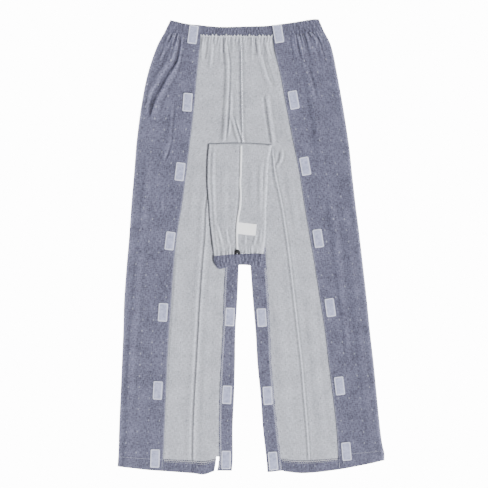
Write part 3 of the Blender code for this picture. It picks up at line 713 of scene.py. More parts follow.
def napped(name, light, dark):
    """Nylon loop tape: a knit brushed until its loops lie every way, so it is soft and even in light."""
    made, tree, shader = new_material(name, 0.88)
    shader.inputs["Sheen Weight"].default_value = 0.25
    where = add_node(tree, "ShaderNodeTexCoord").outputs["Object"]
    # Loops about 0.7 mm across are too fine to show, so they are drawn 1.4 mm across
    loops = add_node(tree, "ShaderNodeTexNoise", {"Vector": where}, in_Scale=700.0, in_Detail=3.0)
    patchy = add_node(tree, "ShaderNodeTexNoise", {"Vector": where}, in_Scale=160.0, in_Detail=2.0)
    pile = add_node(
        tree, "ShaderNodeMath", {0: loops.outputs[0], 1: patchy.outputs[0]}, operation="ADD"
    )
    shade = add_node(tree, "ShaderNodeMapRange", {"Value": pile.outputs[0]}, in_1=0.75, in_2=1.25)
    dressed(tree, shader, shade.outputs[0], light, dark, loops.outputs[0], 0.5, 0.0006)
    return made


def spun(name, light, dark, scale=900.0, roughness=0.8):
    """Polyester thread or cord: twisted filament, mottled by its turns and with a slight shine."""
    made, tree, shader = new_material(name, roughness)
    where = add_node(tree, "ShaderNodeTexCoord").outputs["Object"]
    twist = add_node(tree, "ShaderNodeTexNoise", {"Vector": where}, in_Scale=scale, in_Detail=2.0)
    dressed(tree, shader, twist.outputs[0], light, dark, twist.outputs[0], 0.4, 0.0003)
    return made


def satin(name, light, dark):
    """Polyester satin ribbon: long floats over fine weft, which make it smooth and faintly streaked."""
    made, tree, shader = new_material(name, 0.5)
    where = add_node(tree, "ShaderNodeTexCoord").outputs["Object"]
    floats_at = add_node(
        tree, "ShaderNodeVectorMath", {0: where}, operation="MULTIPLY", in_1=(120, 1500, 1)
    )
    floats = add_node(
        tree, "ShaderNodeTexNoise", {"Vector": floats_at.outputs[0]}, in_Scale=1.0, in_Detail=2.0
    )
    dressed(tree, shader, floats.outputs[0], light, dark, floats.outputs[0], 0.2, 0.0002)
    return made


def finish_of(name):
    """The material of that name, made the first time a piece asks for it."""
    if name in bpy.data.materials:
        return bpy.data.materials[name]
    looks = bpy.context.scene.trouser_looks
    # A cloth's last numbers are the strength of its figures, its sheen, and how strongly its creases are
    # painted darker and its ridges paler, a painted shade and highlight
    finishes = {
        "chambray outer face": (
            woven, looks.outer_light, looks.outer_dark, looks.outer_dot, 0.75, 0.12, 0.55, looks,
        ),
        "chambray inner face": (
            woven, looks.inner_light, looks.inner_dark, looks.inner_dot, 0.55, 0.08, 0.45, looks,
        ),
        "brushed loop tape": (napped, looks.tape_light, looks.tape_dark),
        "polyester sewing thread": (spun, looks.thread_light, looks.thread_dark),
        "tape stitching thread": (spun, linear("#dfe1f1"), linear("#c4c7db")),
        "overlock edge thread": (spun, looks.overlock_light, looks.overlock_dark),
        "braided black cord": (spun, linear("#1c1c20"), linear("#060608"), 1400.0, 0.7),
        "white satin label": (satin, linear("#ffffff"), linear("#f3f4f7")),
    }
    maker, *values = finishes[name]
    return maker(name, *values)


def shaped(name, bm, finishes, nodes):
    """Turns a bmesh in millimetres into a finished piece on the one body."""
    bmesh.ops.scale(bm, vec=(METRES,) * 3, verts=bm.verts)
    mesh = bpy.data.meshes.new(name)
    bm.to_mesh(mesh)
    bm.free()
    return placed(name, mesh, finishes, nodes)


def placed(name, mesh, finishes, nodes):
    """Gives a mesh its finishes and its place on the one body."""
    for finish in finishes:
        mesh.materials.append(finish_of(finish))
    mesh.shade_smooth()
    mesh.set_sharp_from_angle(angle=math.radians(55))
    piece = bpy.data.objects.new(name, mesh)
    bpy.context.scene.collection.objects.link(piece)
    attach(piece, "root")
    if nodes:
        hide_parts(*nodes)
    return piece


# Painted shade and highlight follow the height of each point over the cloth this far to its sides
RELIEF_REACH = 5.0
RELIEF_FULL = 1.2
OUTER, INNER = "chambray outer face", "chambray inner face"


def standing(i, j, x, z, level):
    """How far each point stands above the cloth round it, from -1 in a crease to 1 on a ridge."""
    places, heights = (np.zeros((i.max() + 1, j.max() + 1)) for _ in range(2))
    upper = level > 0.5
    places[i[upper], j[upper]] = x[upper]
    heights[i[upper], j[upper]] = z[upper]
    around = np.zeros_like(heights)
    for row in range(heights.shape[1]):
        order = np.argsort(places[:, row])
        at, height = places[order, row], heights[order, row]
        for shift in (-RELIEF_REACH, -RELIEF_REACH / 2, RELIEF_REACH / 2, RELIEF_REACH):
            around[:, row] += np.interp(places[:, row] + shift, at, height) / 4
    return np.clip((heights - around)[i, j] / RELIEF_FULL, -1.0, 1.0)


def cloth(
    name, columns, rows, form, nodes, faces=(OUTER, INNER), rim=0, layers=0, open_at=None, shade=0.0
):
    """Makes one closed piece of cloth from a grid whose points form(i, j, level) all places at once.

    form gives x, y and z, and the place on the flat cloth that the weave follows. shade is painted
    shade: how much darker the whole piece is painted, so that a gathered piece looks shadowed;
    below zero it paints the piece paler.
    """
    bm = bmesh.new()
    bmesh.ops.create_grid(bm, x_segments=columns, y_segments=rows, size=0.5)
    if open_at:
        gone = []
        for face in bm.faces:
            centre = face.calc_center_median()
            if open_at((centre.x + 0.5) * columns, (centre.y + 0.5) * rows):
                gone.append(face)
        bmesh.ops.delete(bm, geom=gone, context="FACES")
    raised = bmesh.ops.extrude_face_region(bm, geom=bm.faces[:])["geom"]
    bmesh.ops.translate(
        bm, vec=(0, 0, 1), verts=[v for v in raised if isinstance(v, bmesh.types.BMVert)]
    )
    if layers:
        upright = [e for e in bm.edges if abs(e.verts[0].co.z - e.verts[1].co.z) > 0.5]
        bmesh.ops.subdivide_edges(bm, edges=upright, cuts=layers, use_grid_fill=True)
    bmesh.ops.recalc_face_normals(bm, faces=bm.faces[:])
    mesh = bpy.data.meshes.new(name)
    bm.to_mesh(mesh)
    bm.free()

    points = np.zeros(len(mesh.vertices) * 3)
    mesh.vertices.foreach_get("co", points)
    points = points.reshape(-1, 3)
    i = np.rint((points[:, 0] + 0.5) * columns).astype(int)
    j = np.rint((points[:, 1] + 0.5) * rows).astype(int)
    level = points[:, 2].copy()
    x, y, z, across, along = form(i, j, level)
    mesh.vertices.foreach_set("co", (np.stack([x, y, z], axis=1) * METRES).ravel())

    # Painted shade and highlight: each point's height over the cloth round it, less shade, is stored for
    # the material to darken creases and pale ridges
    if not layers:
        painted_crease_shade = mesh.attributes.new("relief", "FLOAT", "POINT")
        painted_crease_shade.data.foreach_set("value", (standing(i, j, x, z, level) - shade).astype(np.float32))

    corners = np.zeros(len(mesh.loops), dtype=np.int32)
    mesh.loops.foreach_get("vertex_index", corners)
    grain = mesh.uv_layers.new(name="cloth")
    flat = np.stack([across, along], axis=1)[corners] * METRES
    grain.uv.foreach_set("vector", flat.astype(np.float32).ravel())

    starts = np.zeros(len(mesh.polygons), dtype=np.int32)
    mesh.polygons.foreach_get("loop_start", starts)
    lowest = np.minimum.reduceat(level[corners], starts)
    highest = np.maximum.reduceat(level[corners], starts)
    if layers:
        which = np.rint((lowest + highest) / 2 * (layers + 1) - 0.5).astype(int) % 2
    else:
        which = np.where(lowest > 0.9, 0, np.where(highest < 0.1, 1, rim))
    mesh.polygons.foreach_set("material_index", which.astype(np.int32))
    mesh.update()
    return placed(name, mesh, faces, nodes)


def rows_between(start, end, pitch, first=(), last=()):
    """Heights from start to end, pitch apart, with closer ones at the ends."""
    count = max(2, round(abs(end - start) / pitch))
    inner = [start + (end - start) * k / count for k in range(count + 1)]
    sign = 1 if end > start else -1
    closer = [start + sign * a for a in first] + [end - sign * a for a in last]
    return np.array(sorted(set(round(a, 3) for a in inner + closer)))


def make_back(toward, slit):
    """One back panel, seat and leg, its grey inner face up."""
    side = side_key(toward)
    low, share, offset = spaced([5, 30, 10, 8, 10, 20, 3, 12], [0.0] * len(EDGE_ANGLES), FREE_STEPS)
    heights = rows_between(HEM, WAIST - HALF_GAP, 4.6, (0.3, 1.0, 2.0), (1.5, 3.0))
    # Closer rows where narrow creases run slantwise
    closer = np.linspace(222, 342, 60)
    heights = np.concatenate([heights[heights < 220], closer, heights[heights > 344]])
    turned = len(EDGE_ANGLES)

    def form(i, j, level):
        height = heights[j]
        start, end = BACK["side" + side](height), BACK["inner" + side](height) - toward * HALF_GAP
        crease, strip = BACK["crease" + side](height), BACK["strip" + side](height)
        k = np.minimum(i, turned - 1)
        inner_shift = WALL + (EDGE_WIDTH - WALL) * EDGE_SHIFT[k]
        shift = np.where(level > 0.5, inner_shift, EDGE_WIDTH * EDGE_SHIFT[k])
        first = start + toward * shift
        rails = [
            first, BACK["wrap" + side](height), crease - toward * 10, crease - toward * 1.8,
            crease + toward * 1.8, crease + toward * 10,
            strip - toward * SLIT_WIDTH, strip - toward * SEAM_GAP, end,
        ]
        x = between_rails(rails, low[i], share[i]) + toward * offset[i]
        y = on_sheet(x, height)
        under = (EDGE_MEET + HALF_GAP) * (1 - EDGE_RISE[k])
        high = EDGE_MEET + HALF_GAP - (EDGE_MEET + HALF_GAP - WALL) * EDGE_RISE[k]
        top = np.where(i < turned - 1, high, back_top(toward, x, y, height))
        top = top - eased((end - x) * toward) - np.where(i < turned - 1, 0, eased(height - HEM))
        z = np.where(level > 0.5, top, under)
        return x, y, z, x - crease * fade(height, 300, 180), height

    def open_at(i, j):
        return slit and low[int(i)] == SLIT_RAIL and heights[int(j) + 1] < SLIT_TOP + 1

    name = sided("back", toward)
    return cloth(
        name + "_cloth", len(share) - 1, len(heights) - 1, form, [name],
        faces=(INNER, OUTER), rim=1, open_at=open_at,
    )


def make_side(toward):
    """One side piece, folded over from the outer edge, its blue face up."""
    side = side_key(toward)
    low, share, offset = spaced([62, 20], [0.0] * len(EDGE_ANGLES), FREE_STEPS)
    heights = rows_between(HEM, WAIST - HALF_GAP, 4.6, (0.3, 1.0, 2.0), (1.5, 3.0))
    turned = len(EDGE_ANGLES)

    def form(i, j, level):
        height = heights[j]
        start, end = BACK["side" + side](height), BACK["wrap" + side](height)
        k = np.minimum(i, turned - 1)
        inner_shift = WALL + (EDGE_WIDTH - WALL) * EDGE_SHIFT[k]
        shift = np.where(level > 0.5, EDGE_WIDTH * EDGE_SHIFT[k], inner_shift)
        first = start + toward * shift
        x = between_rails([first, end - toward * FLAT_MARGIN, end], low[i], share[i]) + toward * offset[i]
        y = on_sheet(x, height)
        meet = EDGE_MEET + HALF_GAP + 0.02
        crown = edge_top(height)
        outer = meet + (crown - meet) * EDGE_RISE[k]
        inner = meet + (crown - WALL - meet) * EDGE_RISE[k]
        floor = side_floor(toward, x, y, height)
        top = floor + WALL - eased((end - x) * toward) - eased(height - HEM)
        at_edge = i < turned - 1
        z = np.where(level > 0.5, np.where(at_edge, outer, top), np.where(at_edge, inner, floor))
        return x, y, z, x - BACK["wrap" + side](height), height

    name = sided("side", toward)
    return cloth(name + "_cloth", len(share) - 1, len(heights) - 1, form, [name])


def strip_top(toward, x, height):
    """The top of an inner strip, which rolls down to the leg edge."""
    side = side_key(toward)
    inner, outer = BACK["inner" + side](height), BACK["strip" + side](height)
    uneven = 0.25 * np.sin(height / 11.0) * np.sin(height / 29.0 + 1)
    top = SECOND + WALL + uneven * fade((inner - x) * toward, 0, 8)
    return top - eased((inner - x) * toward, 4.0, 1.3) - eased((x - outer) * toward)


def make_inseam(toward):
    """The strip turned in along the inner leg edge."""
    side = side_key(toward)
    _, share, offset = spaced([8], [0.0, 0.3, 0.8, 2.0], [-5.0, -3.5, -2.2, -1.2, -0.5, -0.1])
    heights = rows_between(HEM, CROTCH - 12, 4.0, (0.3, 1.0, 2.0))

    def form(i, j, level):
        height = heights[j]
        outer, inner = BACK["strip" + side](height), BACK["inner" + side](height) - toward * HALF_GAP
        wander = toward * (0.5 * np.sin(height / 5.3) + 0.4 * np.sin(height / 3.1 + 1)) * (1 - share[i])
        x = outer + (inner - outer) * share[i] + toward * offset[i] + wander * fade(offset[i], 3.0, 0.0)
        y = on_sheet(x, height)
        top = strip_top(toward, x, height) - eased(height - HEM)
        z = np.where(level > 0.5, top, SECOND)
        return x, y, z, x - inner, height

    name = sided("inseam", toward)
    return cloth(name + "_cloth", len(share) - 1, len(heights) - 1, form, [name])


def make_hem(toward):
    """The hem turned up over the grey face, between the side piece and the inner strip."""
    side = side_key(toward)
    clear = SLIT_WIDTH if toward == LEFT else 2 * SEAM_GAP
    columns = 60
    heights = rows_between(HEM, HEM_TOP, 3.4, (0.3, 1.0, 2.0), (0.4, 1.2, 2.4, 3.3, 4.2, 5.6))

    def form(i, j, level):
        height = heights[j]
        start = BACK["wrap" + side](height) + toward * SEAM_GAP
        end = BACK["strip" + side](height) - toward * clear
        x = start + (end - start) * i / columns
        y = on_sheet(x, height)
        inside = fade(height, HEM, HEM + 6) * fade(height, HEM_TOP, HEM_TOP - 6)
        uneven = 0.3 * rolls(x * 3, y * 3, 0.7) * inside
        fold = -0.9 * bump(x, BACK["crease" + side](height), 1.8, 1.8)
        fold = fold - 0.9 * bump(height, HEM_TOP - 3.3, 1.3, 1.3)
        top = SECOND + WALL + uneven + fold - eased(height - HEM, 2.0, 0.8) - eased(HEM_TOP - height)
        z = np.where(level > 0.5, top, SECOND)
        return x, y, z, x - BACK["crease" + side](height), height

    name = sided("hem", toward)
    return cloth(name + "_cloth", columns, len(heights) - 1, form, [name])


# Shares of a waistband's height, closer at its edges and its two rows of stitches
BAND_ROWS = np.array([
    0.0, 0.03, 0.08, 0.16, 0.24, 0.29, 0.33, 0.37, 0.44, 0.56, 0.63, 0.67, 0.71, 0.77, 0.85, 0.92,
    0.97, 1.0,
])


def band_crown(v):
    """The rounded section of a waistband, v from 0 to 1 across it."""
    return 0.62 + 0.38 * np.clip(1 - np.abs(2 * v - 1) ** 4, 0, 1) ** 0.5


def gathered_band(t, v, count, start):
    """Gathers over an elastic, broken in three by its rows of stitches, none as high as the next."""
    total = 0.0
    for row in range(3):
        span = fade(v, row / 3 - 0.1, row / 3 + 0.08) if row else 1.0
        span = span * (fade(v, (row + 1) / 3 + 0.08, (row + 1) / 3 - 0.1) if row < 2 else 1.0)
        wave = waves(t + 0.27 * row / count, count, start + 1.7 * row) ** 1.2
        uneven = 0.66 + 0.34 * np.sin(2.3 * count * t + 2.1 * row + start) * np.sin(0.9 * count * t + row)
        total = total + span * wave * uneven
    return total - 0.3 * (bump(v, 0.33, 0.09, 0.09) + bump(v, 0.67, 0.09, 0.09))


Ends = namedtuple("Ends", "left_low left_high right_low right_high")


def make_waistband(name, ends, floor, shown, count):
    """A stretch of the gathered elastic waistband, with count waves where it shows."""
    width = ends.right_low - ends.left_low
    first, last = (shown[0] - ends.left_low) / width, (shown[1] - ends.left_low) / width
    fine = np.linspace(first, last, 9 * count + 1)
    before, after = np.linspace(0.01, first, 5), np.linspace(last, 0.99, 5)
    stops = np.concatenate([[0.0, 0.003, 0.01], before, fine, after, [0.997, 1.0]])
    stops = np.unique(np.round(stops, 5))

    def form(i, j, level):
        k, v = stops[i], BAND_ROWS[j]
        low = ends.left_low + width * k
        high = ends.left_high + (ends.right_high - ends.left_high) * k
        x = low + (high - low) * v
        t = (k - first) / (last - first)
        inside = fade(t, 0, 0.05) * fade(t, 1, 0.88)
        rise = gathered_band(t, v, count, 0.0) * inside
        base = waist_line(low) + HALF_GAP
        scallop = 0.8 * (rise - 0.5) * inside
        y = base * (1 - v) + (waist_top(high) + 0.4 + scallop) * v
        rounded = 0.3 * eased(k * width, 2.0, 1.0) + 0.3 * eased((1 - k) * width, 2.0, 1.0)
        crown = band_crown(v) * (1 - rounded)
        top = floor + BAND_WALL * crown + GATHER_SHOWN * rise * crown
        lower = floor + 0.3 * (1 - band_crown(v))
        return x, y, np.where(level > 0.5, top, lower), low * 1.35, 15 + 18 * v

    # shade=0.3 paints the gathered band darker all over, a painted shade of its gathers
    return cloth(
        name + "_cloth", len(stops) - 1, len(BAND_ROWS) - 1, form, [name],
        faces=(OUTER, OUTER), shade=0.3,
    )


def make_flap(toward):
    """Half of the front panel, folded down at the crotch, its grey inner face up."""
    rail = FLAP_RAILS["left" if toward == LEFT else "right"]
    _, share, offset = spaced([60], [0.0] * len(EDGE_ANGLES), [-1.5, -0.6, -0.15])
    turned = len(EDGE_ANGLES)
    down = np.concatenate([[0.0], np.linspace(0.02, 0.9, 60), np.linspace(0.91, 1.0, 14)])
    rows = turned - 1 + len(down) - 1

    def form(i, j, level):
        from_top = rows - j
        k_row, k_col = np.minimum(from_top, turned - 1), np.minimum(i, turned - 1)
        along = down[np.maximum(from_top - turned + 1, 0)]
        height = 222 - 240 * along
        upper = level > 0.5
        reach = np.where(upper, FLAP_TURN_WIDTH, FLAP_TURN_WIDTH - WALL)
        inset = np.where(upper, 0.0, WALL)
        outer = rail(height) + toward * (inset + reach * EDGE_SHIFT[k_col])
        seam = FLAP_RAILS["seam"](height)
        x = outer + (seam - outer) * share[i] + toward * np.where(i >= turned, offset[i], 0.0)
        fold = flap_fold_line(x)
        start = fold - FLAP_TURN_WIDTH
        flat_y = start + (flap_band_top(x) + HALF_GAP - start) * along
        y = np.where(from_top < turned - 1, fold - inset - reach * EDGE_SHIFT[k_row], flat_y)
        depth = np.where(upper, 4.7, 3.5)
        edge_drop = depth * (1 - EDGE_RISE[k_col]) ** 1.5
        fold_drop = FLAP_FOLD_DEPTH * depth * (1 - EDGE_RISE[k_row]) ** 1.5
        flat = (k_row == turned - 1) & (k_col == turned - 1)
        plain = flap_floor(y) - np.maximum(edge_drop, fold_drop)
        near = fade((x - outer) * toward, 0, 7) * fade(fold - y, FLAP_TURN_WIDTH, FLAP_TURN_WIDTH + 8)
        top = plain + WALL + np.where(flat, flap_relief(x, y) * near, 0.0)
        z = np.where(upper, top, plain)
        return x, y, np.maximum(z, SECOND + 0.2 * level), x - seam, y

    name = sided("flap", toward)
    return cloth(
        name + "_cloth", len(share) - 1, rows, form, [name], faces=(INNER, OUTER), rim=1
    )


def grooved(level, layers, depth):
    """How far each level of a folded stack stands back, rounded like the folds of cloth."""
    t = level * (layers + 1) / 2
    return depth * (0.5 - 0.5 * np.cos(2 * math.pi * t)) ** 0.7


def make_flap_layers():
    """What lies folded under the front panel: one rounded solid, layered at its edges."""
    inset, columns, layers = 3.4, 30, 11
    down = np.concatenate([[0.0, 0.01, 0.03], np.linspace(0.06, 0.94, 40), [0.97, 0.99, 1.0]])
    rows = len(down) - 1
    across = np.linspace(0.06, 0.94, columns - 5)
    across = np.concatenate([[0.0, 0.012, 0.03], across, [0.97, 0.988, 1.0]])

    def form(i, j, level):
        along = down[rows - j]
        height = 224 - 240 * along
        left, right = FLAP_RAILS["left"](height) + inset, FLAP_RAILS["right"](height) - inset
        u = across[i]
        x = left + (right - left) * u
        start = flap_fold_line(x) - 4.5
        y = start + (flap_band_top(x) + 1.5 - start) * along
        rim = (i == 0) | (i == len(across) - 1) | (j == 0) | (j == rows)
        top = flap_floor(y) - SEAM_GAP - np.where(rim, 1.6, 0.0)
        back = grooved(level, layers, 1.4)
        x = x + np.where(i == 0, back, 0) - np.where(i == len(across) - 1, back, 0)
        y = y + np.where(j == 0, back, 0) - np.where(j == rows, back, 0)
        return x, y, THIRD + (top - THIRD) * level, x, y

    return cloth(
        "flap_layers_cloth", len(across) - 1, rows, form, ["flap_layers"], layers=layers
    )


def flap_band_outline(u, v):
    """The front waistband in plan, u from left to right and v from seam to end."""
    left, right = float(FLAP_RAILS["left"](-18.0)), float(FLAP_RAILS["right"](-18.0))
    x = left + (right - left) * u
    x = x + 8.0 * (1 - fade(u, 0, 0.25)) * np.maximum(0.0, v - 0.35) ** 2 / 0.42
    top = flap_band_top(x) - HALF_GAP
    return x, top + (flap_band_end(x) - top) * v


def make_flap_waistband():
    """The gathered waistband of the front panel, and its ends folded under it."""
    count = FLAP_GATHERS
    fine = np.linspace(0.02, 0.98, 9 * count + 1)
    stops = np.concatenate([[0.0, 0.003, 0.01], fine, [0.99, 0.997, 1.0]])

    def form(i, j, level):
        u, v = stops[i], 1 - BAND_ROWS[j]
        x, y = flap_band_outline(u, v)
        ends = fade(u, 0, 0.05) * fade(u, 1, 0.96)
        rise = gathered_band(u, v, count, 1.0) * ends
        y = y - 0.8 * (rise - 0.6) * fade(v, 0.7, 1.0)
        crown = band_crown(v) * (0.55 + 0.45 * ends)
        top = FLAP_BAND + BAND_WALL * crown + GATHER_SHOWN * rise * crown
        return x, y, np.where(level > 0.5, top, FLAP_BAND), x * 1.35, 15 + 18 * v

    # shade=0.1 paints the gathered band a little darker all over, a painted shade of its gathers
    band = cloth(
        "flap_waistband_cloth", len(stops) - 1, len(BAND_ROWS) - 1, form,
        ["flap_waistband"], faces=(OUTER, OUTER), shade=0.1,
    )
    columns, rows, layers = 24, 8, 7

    def form_under(i, j, level):
        u, v = i / columns, 1 - j / rows
        x, y = flap_band_outline(u, v)
        x = x + 5.0 * u + 2.0 * (1 - u)
        y = y - 2.0 * v - 1.0 * (1 - v)
        back = grooved(level, layers, 1.1)
        x = x + np.where(i == 0, back, 0) - np.where(i == columns, back, 0)
        y = y + np.where(j == 0, back, 0) - np.where(j == rows, back, 0)
        rim = (i == 0) | (i == columns) | (j == 0) | (j == rows)
        top = FOLDED_END_TOP - np.where(rim, 0.4, 0)
        return x, y, THIRD + (top - THIRD) * level, x, y

    under = cloth(
        "flap_band_under_cloth", columns, rows, form_under, ["flap_band_under"],
        faces=(OUTER, OUTER), layers=layers,
    )
    return band, under


def plate(name, middle, size, wall, floor, lean, corner, rim, finishes, node):
    """A thin plate of tape with rounded corners, its edge pressed down by the sewing."""
    bm = bmesh.new()
    bmesh.ops.create_cube(bm, size=1.0)
    bmesh.ops.scale(bm, vec=(size[0], size[1], wall), verts=bm.verts)
    upright = [e for e in bm.edges if abs(e.verts[0].co.z - e.verts[1].co.z) > wall / 2]
    bmesh.ops.bevel(
        bm, geom=upright, offset=corner, affect="EDGES", segments=5, profile=0.5, material=-1
    )
    top = max(bm.faces, key=lambda f: f.normal.z)
    was = 0.0
    for inset, rise in rim:
        raised = bmesh.ops.extrude_discrete_faces(bm, faces=[top])
        top = raised["faces"][0]
        narrower = [(side / 2 - inset) / (side / 2 - was) for side in size]
        bmesh.ops.scale(bm, vec=(*narrower, 1.0), verts=top.verts[:])
        bmesh.ops.translate(bm, vec=(0, 0, rise), verts=top.verts[:])
        was = inset
    for face in bm.faces:
        centre = face.calc_center_median()
        face.material_index = int(min(size[0] / 2 - abs(centre.x), size[1] / 2 - abs(centre.y)) < 1.75)
    turn = Matrix.Rotation(math.radians(lean), 4, "Z")
    lay = Matrix.Translation((*middle, floor + wall / 2)) @ turn
    bmesh.ops.transform(bm, matrix=lay, verts=bm.verts)
    return shaped(name, bm, finishes, [node])


def sew(bm, points, length, width, rise=0.28):
    """Adds one small stitch, a stretched icosphere, at each (x, y, z, heading) of a seam."""
    for x, y, z, heading in points:
        at = (
            Matrix.Translation((x, y, z)) @ Matrix.Rotation(heading, 4, "Z")
            @ Matrix.Diagonal((length / 2, width / 2, rise, 1.0))
        )
        bmesh.ops.create_icosphere(bm, subdivisions=1, radius=1.0, matrix=at)


def seam_points(path, pitch, height_at, share=1.0):
    """Evenly spaced stitches along a path of (x, y), laid on the surface below them."""
    path = np.array(path, float)
    lengths = np.concatenate([[0], np.cumsum(np.hypot(*np.diff(path, axis=0).T))])
    count = max(1, int(lengths[-1] / pitch))
    at = (np.arange(count) + 0.5) * lengths[-1] / count
    x, y = np.interp(at, lengths, path[:, 0]), np.interp(at, lengths, path[:, 1])
    run, climb = (
        np.interp(at + 0.3, lengths, path[:, k]) - np.interp(at - 0.3, lengths, path[:, k])
        for k in (0, 1)
    )
    heading = np.arctan2(climb, run)
    return list(zip(x, y, height_at(x, y), heading))


def flat_at(z):
    """A level surface at height z, for stitches to lie on."""
    return lambda x, y: np.full_like(x, z)


def zigzag(path, pitch, swing, height_at, uneven=0.0):
    """Slanting stitches that cross a cut edge to and fro, as an overlock does."""
    made = []
    for k, (x, y, z, heading) in enumerate(seam_points(path, pitch, height_at)):
        way = 1 if k % 2 else -1
        jitter = uneven * math.sin(k * 2.4) * math.sin(k * 0.37)
        nx, ny = -math.sin(heading), math.cos(heading)
        made.append((x + nx * jitter, y + ny * jitter, z, heading + way * (math.pi / 2 - swing)))
    return made


# Section of a patch from its edge inwards, as (inset, rise): a roll, the sewn groove, the pile
PATCH_RIM = [
    (0.12, 0.14), (0.4, 0.12), (0.8, 0.04), (1.7, -0.04), (2.1, -0.24), (2.5, -0.14), (2.9, 0.12),
    (3.4, 0.22), (4.2, 0.06),
]


def make_patches():
    """The hook-and-loop patches and the thread that sews them down."""
    made = []
    bm = bmesh.new()
    inset_across, inset_along = PATCH_WIDTH / 2 - 2.6, PATCH_LENGTH / 2 - 2.6
    for patch in PATCHES:
        floor = THIRD if patch.y < WAIST - 40 else FRONT_BAND_TOP + SEAM_GAP
        made.append(plate(
            "tape_" + patch.name, (patch.x, patch.y), (PATCH_WIDTH, PATCH_LENGTH), PATCH_WALL, floor,
            patch.lean, PATCH_CORNER, PATCH_RIM,
            ["brushed loop tape", "tape stitching thread"], "patch_" + patch.name,
        ))
        corners = [
            (-inset_across, -inset_along), (inset_across, -inset_along), (inset_across, inset_along),
            (-inset_across, inset_along), (-inset_across, -inset_along),
        ]
        turn = math.radians(patch.lean)
        cos, sin = math.cos(turn), math.sin(turn)
        path = [(patch.x + x * cos - y * sin, patch.y + x * sin + y * cos) for x, y in corners]
        top = floor + PATCH_WALL + 0.02
        for start, end in zip(path[:-1], path[1:]):
            sew(bm, seam_points([start, end], 2.9, flat_at(top)), 2.3, 0.7)
    stitching = shaped("patch_stitching", bm, ["tape stitching thread"], [])
    return made + [stitching]


def make_label():
    """The bare label, sewn in at the centre seam of the front panel."""
    middle, size, lean = (-9.2, 39.5), (41.0, 25.0), -6.0
    columns, rows = 26, 16
    turn = math.radians(lean)

    def form(i, j, level):
        u, v = i / columns - 0.5, j / rows - 0.5
        lx, ly = size[0] * u, size[1] * v
        x = middle[0] + lx * math.cos(turn) - ly * math.sin(turn)
        y = middle[1] + lx * math.sin(turn) + ly * math.cos(turn)
        lift = 0.8 * fade(u, 0.1, 0.5) * (0.6 + v)
        floor = np.maximum(flap_top(x, y) + 0.15, FLAP + WALL + SEAM_GAP) + lift
        return x, y, floor + 0.45 * level, lx, ly

    label = cloth(
        "label_satin", columns, rows, form, ["label"], faces=("white satin label",) * 2
    )
    bm = bmesh.new()
    for s in (-0.5, 0.5):
        path = [
            (middle[0] + (size[0] * s - 2.0 * np.sign(s)) * math.cos(turn) - v * math.sin(turn),
             middle[1] + (size[0] * s - 2.0 * np.sign(s)) * math.sin(turn) + v * math.cos(turn))
            for v in (-10.5, 10.5)
        ]
        top = FLAP + WALL + SEAM_GAP + 0.55 + (0.5 if s > 0 else 0.0)
        sew(bm, seam_points(path, 2.8, flat_at(top)), 2.2, 0.45)
    stitching = shaped("label_stitching", bm, ["polyester sewing thread"], [])
    return label, stitching


def make_loop():
    """The small loop of cord at the middle of the front waistband."""
    middle, half_width, rise = -30.0, 3.9, 5.2
    foot = float(flap_band_top(middle)) + 1.0
    bm = bmesh.new()
    ring = bmesh.ops.create_circle(bm, segments=14, radius=LOOP_RADIUS, cap_ends=True)
    lay = Matrix.Translation((half_width, 0, 0)) @ Matrix.Rotation(math.radians(90), 4, "X")
    bmesh.ops.transform(bm, matrix=lay, verts=ring["verts"])
    bmesh.ops.spin(
        bm, geom=bm.verts[:] + bm.edges[:] + bm.faces[:], cent=(0, 0, 0), axis=(0, 0, 1),
        angle=math.pi, steps=28, use_duplicate=False, use_merge=False,
    )
    bmesh.ops.holes_fill(bm, edges=[e for e in bm.edges if e.is_boundary])
    bmesh.ops.recalc_face_normals(bm, faces=bm.faces[:])
    for vert in bm.verts:
        angle = math.atan2(vert.co.y, vert.co.x)
        along = angle * half_width
        radial = math.hypot(vert.co.x, vert.co.y) - half_width
        round_ = math.atan2(vert.co.z, radial)
        plait = 1 + 0.07 * math.sin(3 * round_ + along * 3.2) + 0.07 * math.sin(3 * round_ - along * 3.2)
        size = half_width + radial * plait
        x, y = size * math.cos(angle), size * math.sin(angle) * rise / half_width
        z = vert.co.z * plait
        under = float(flap_top(np.array(middle + x), np.array(foot + max(y, 0.0))))
        # The ends go down into the waistband's gathers
        sunk = float(fade(math.sin(angle), 0.75, 0.0))
        lift = max(under, FLAP_BAND + WALL + 1.1) + LOOP_RADIUS - 2.6 * sunk
        vert.co = Vector((middle + x, foot + y - 2.0 * sunk, lift + z))
    return shaped("band_loop_cord", bm, ["braided black cord"], ["band_loop"])


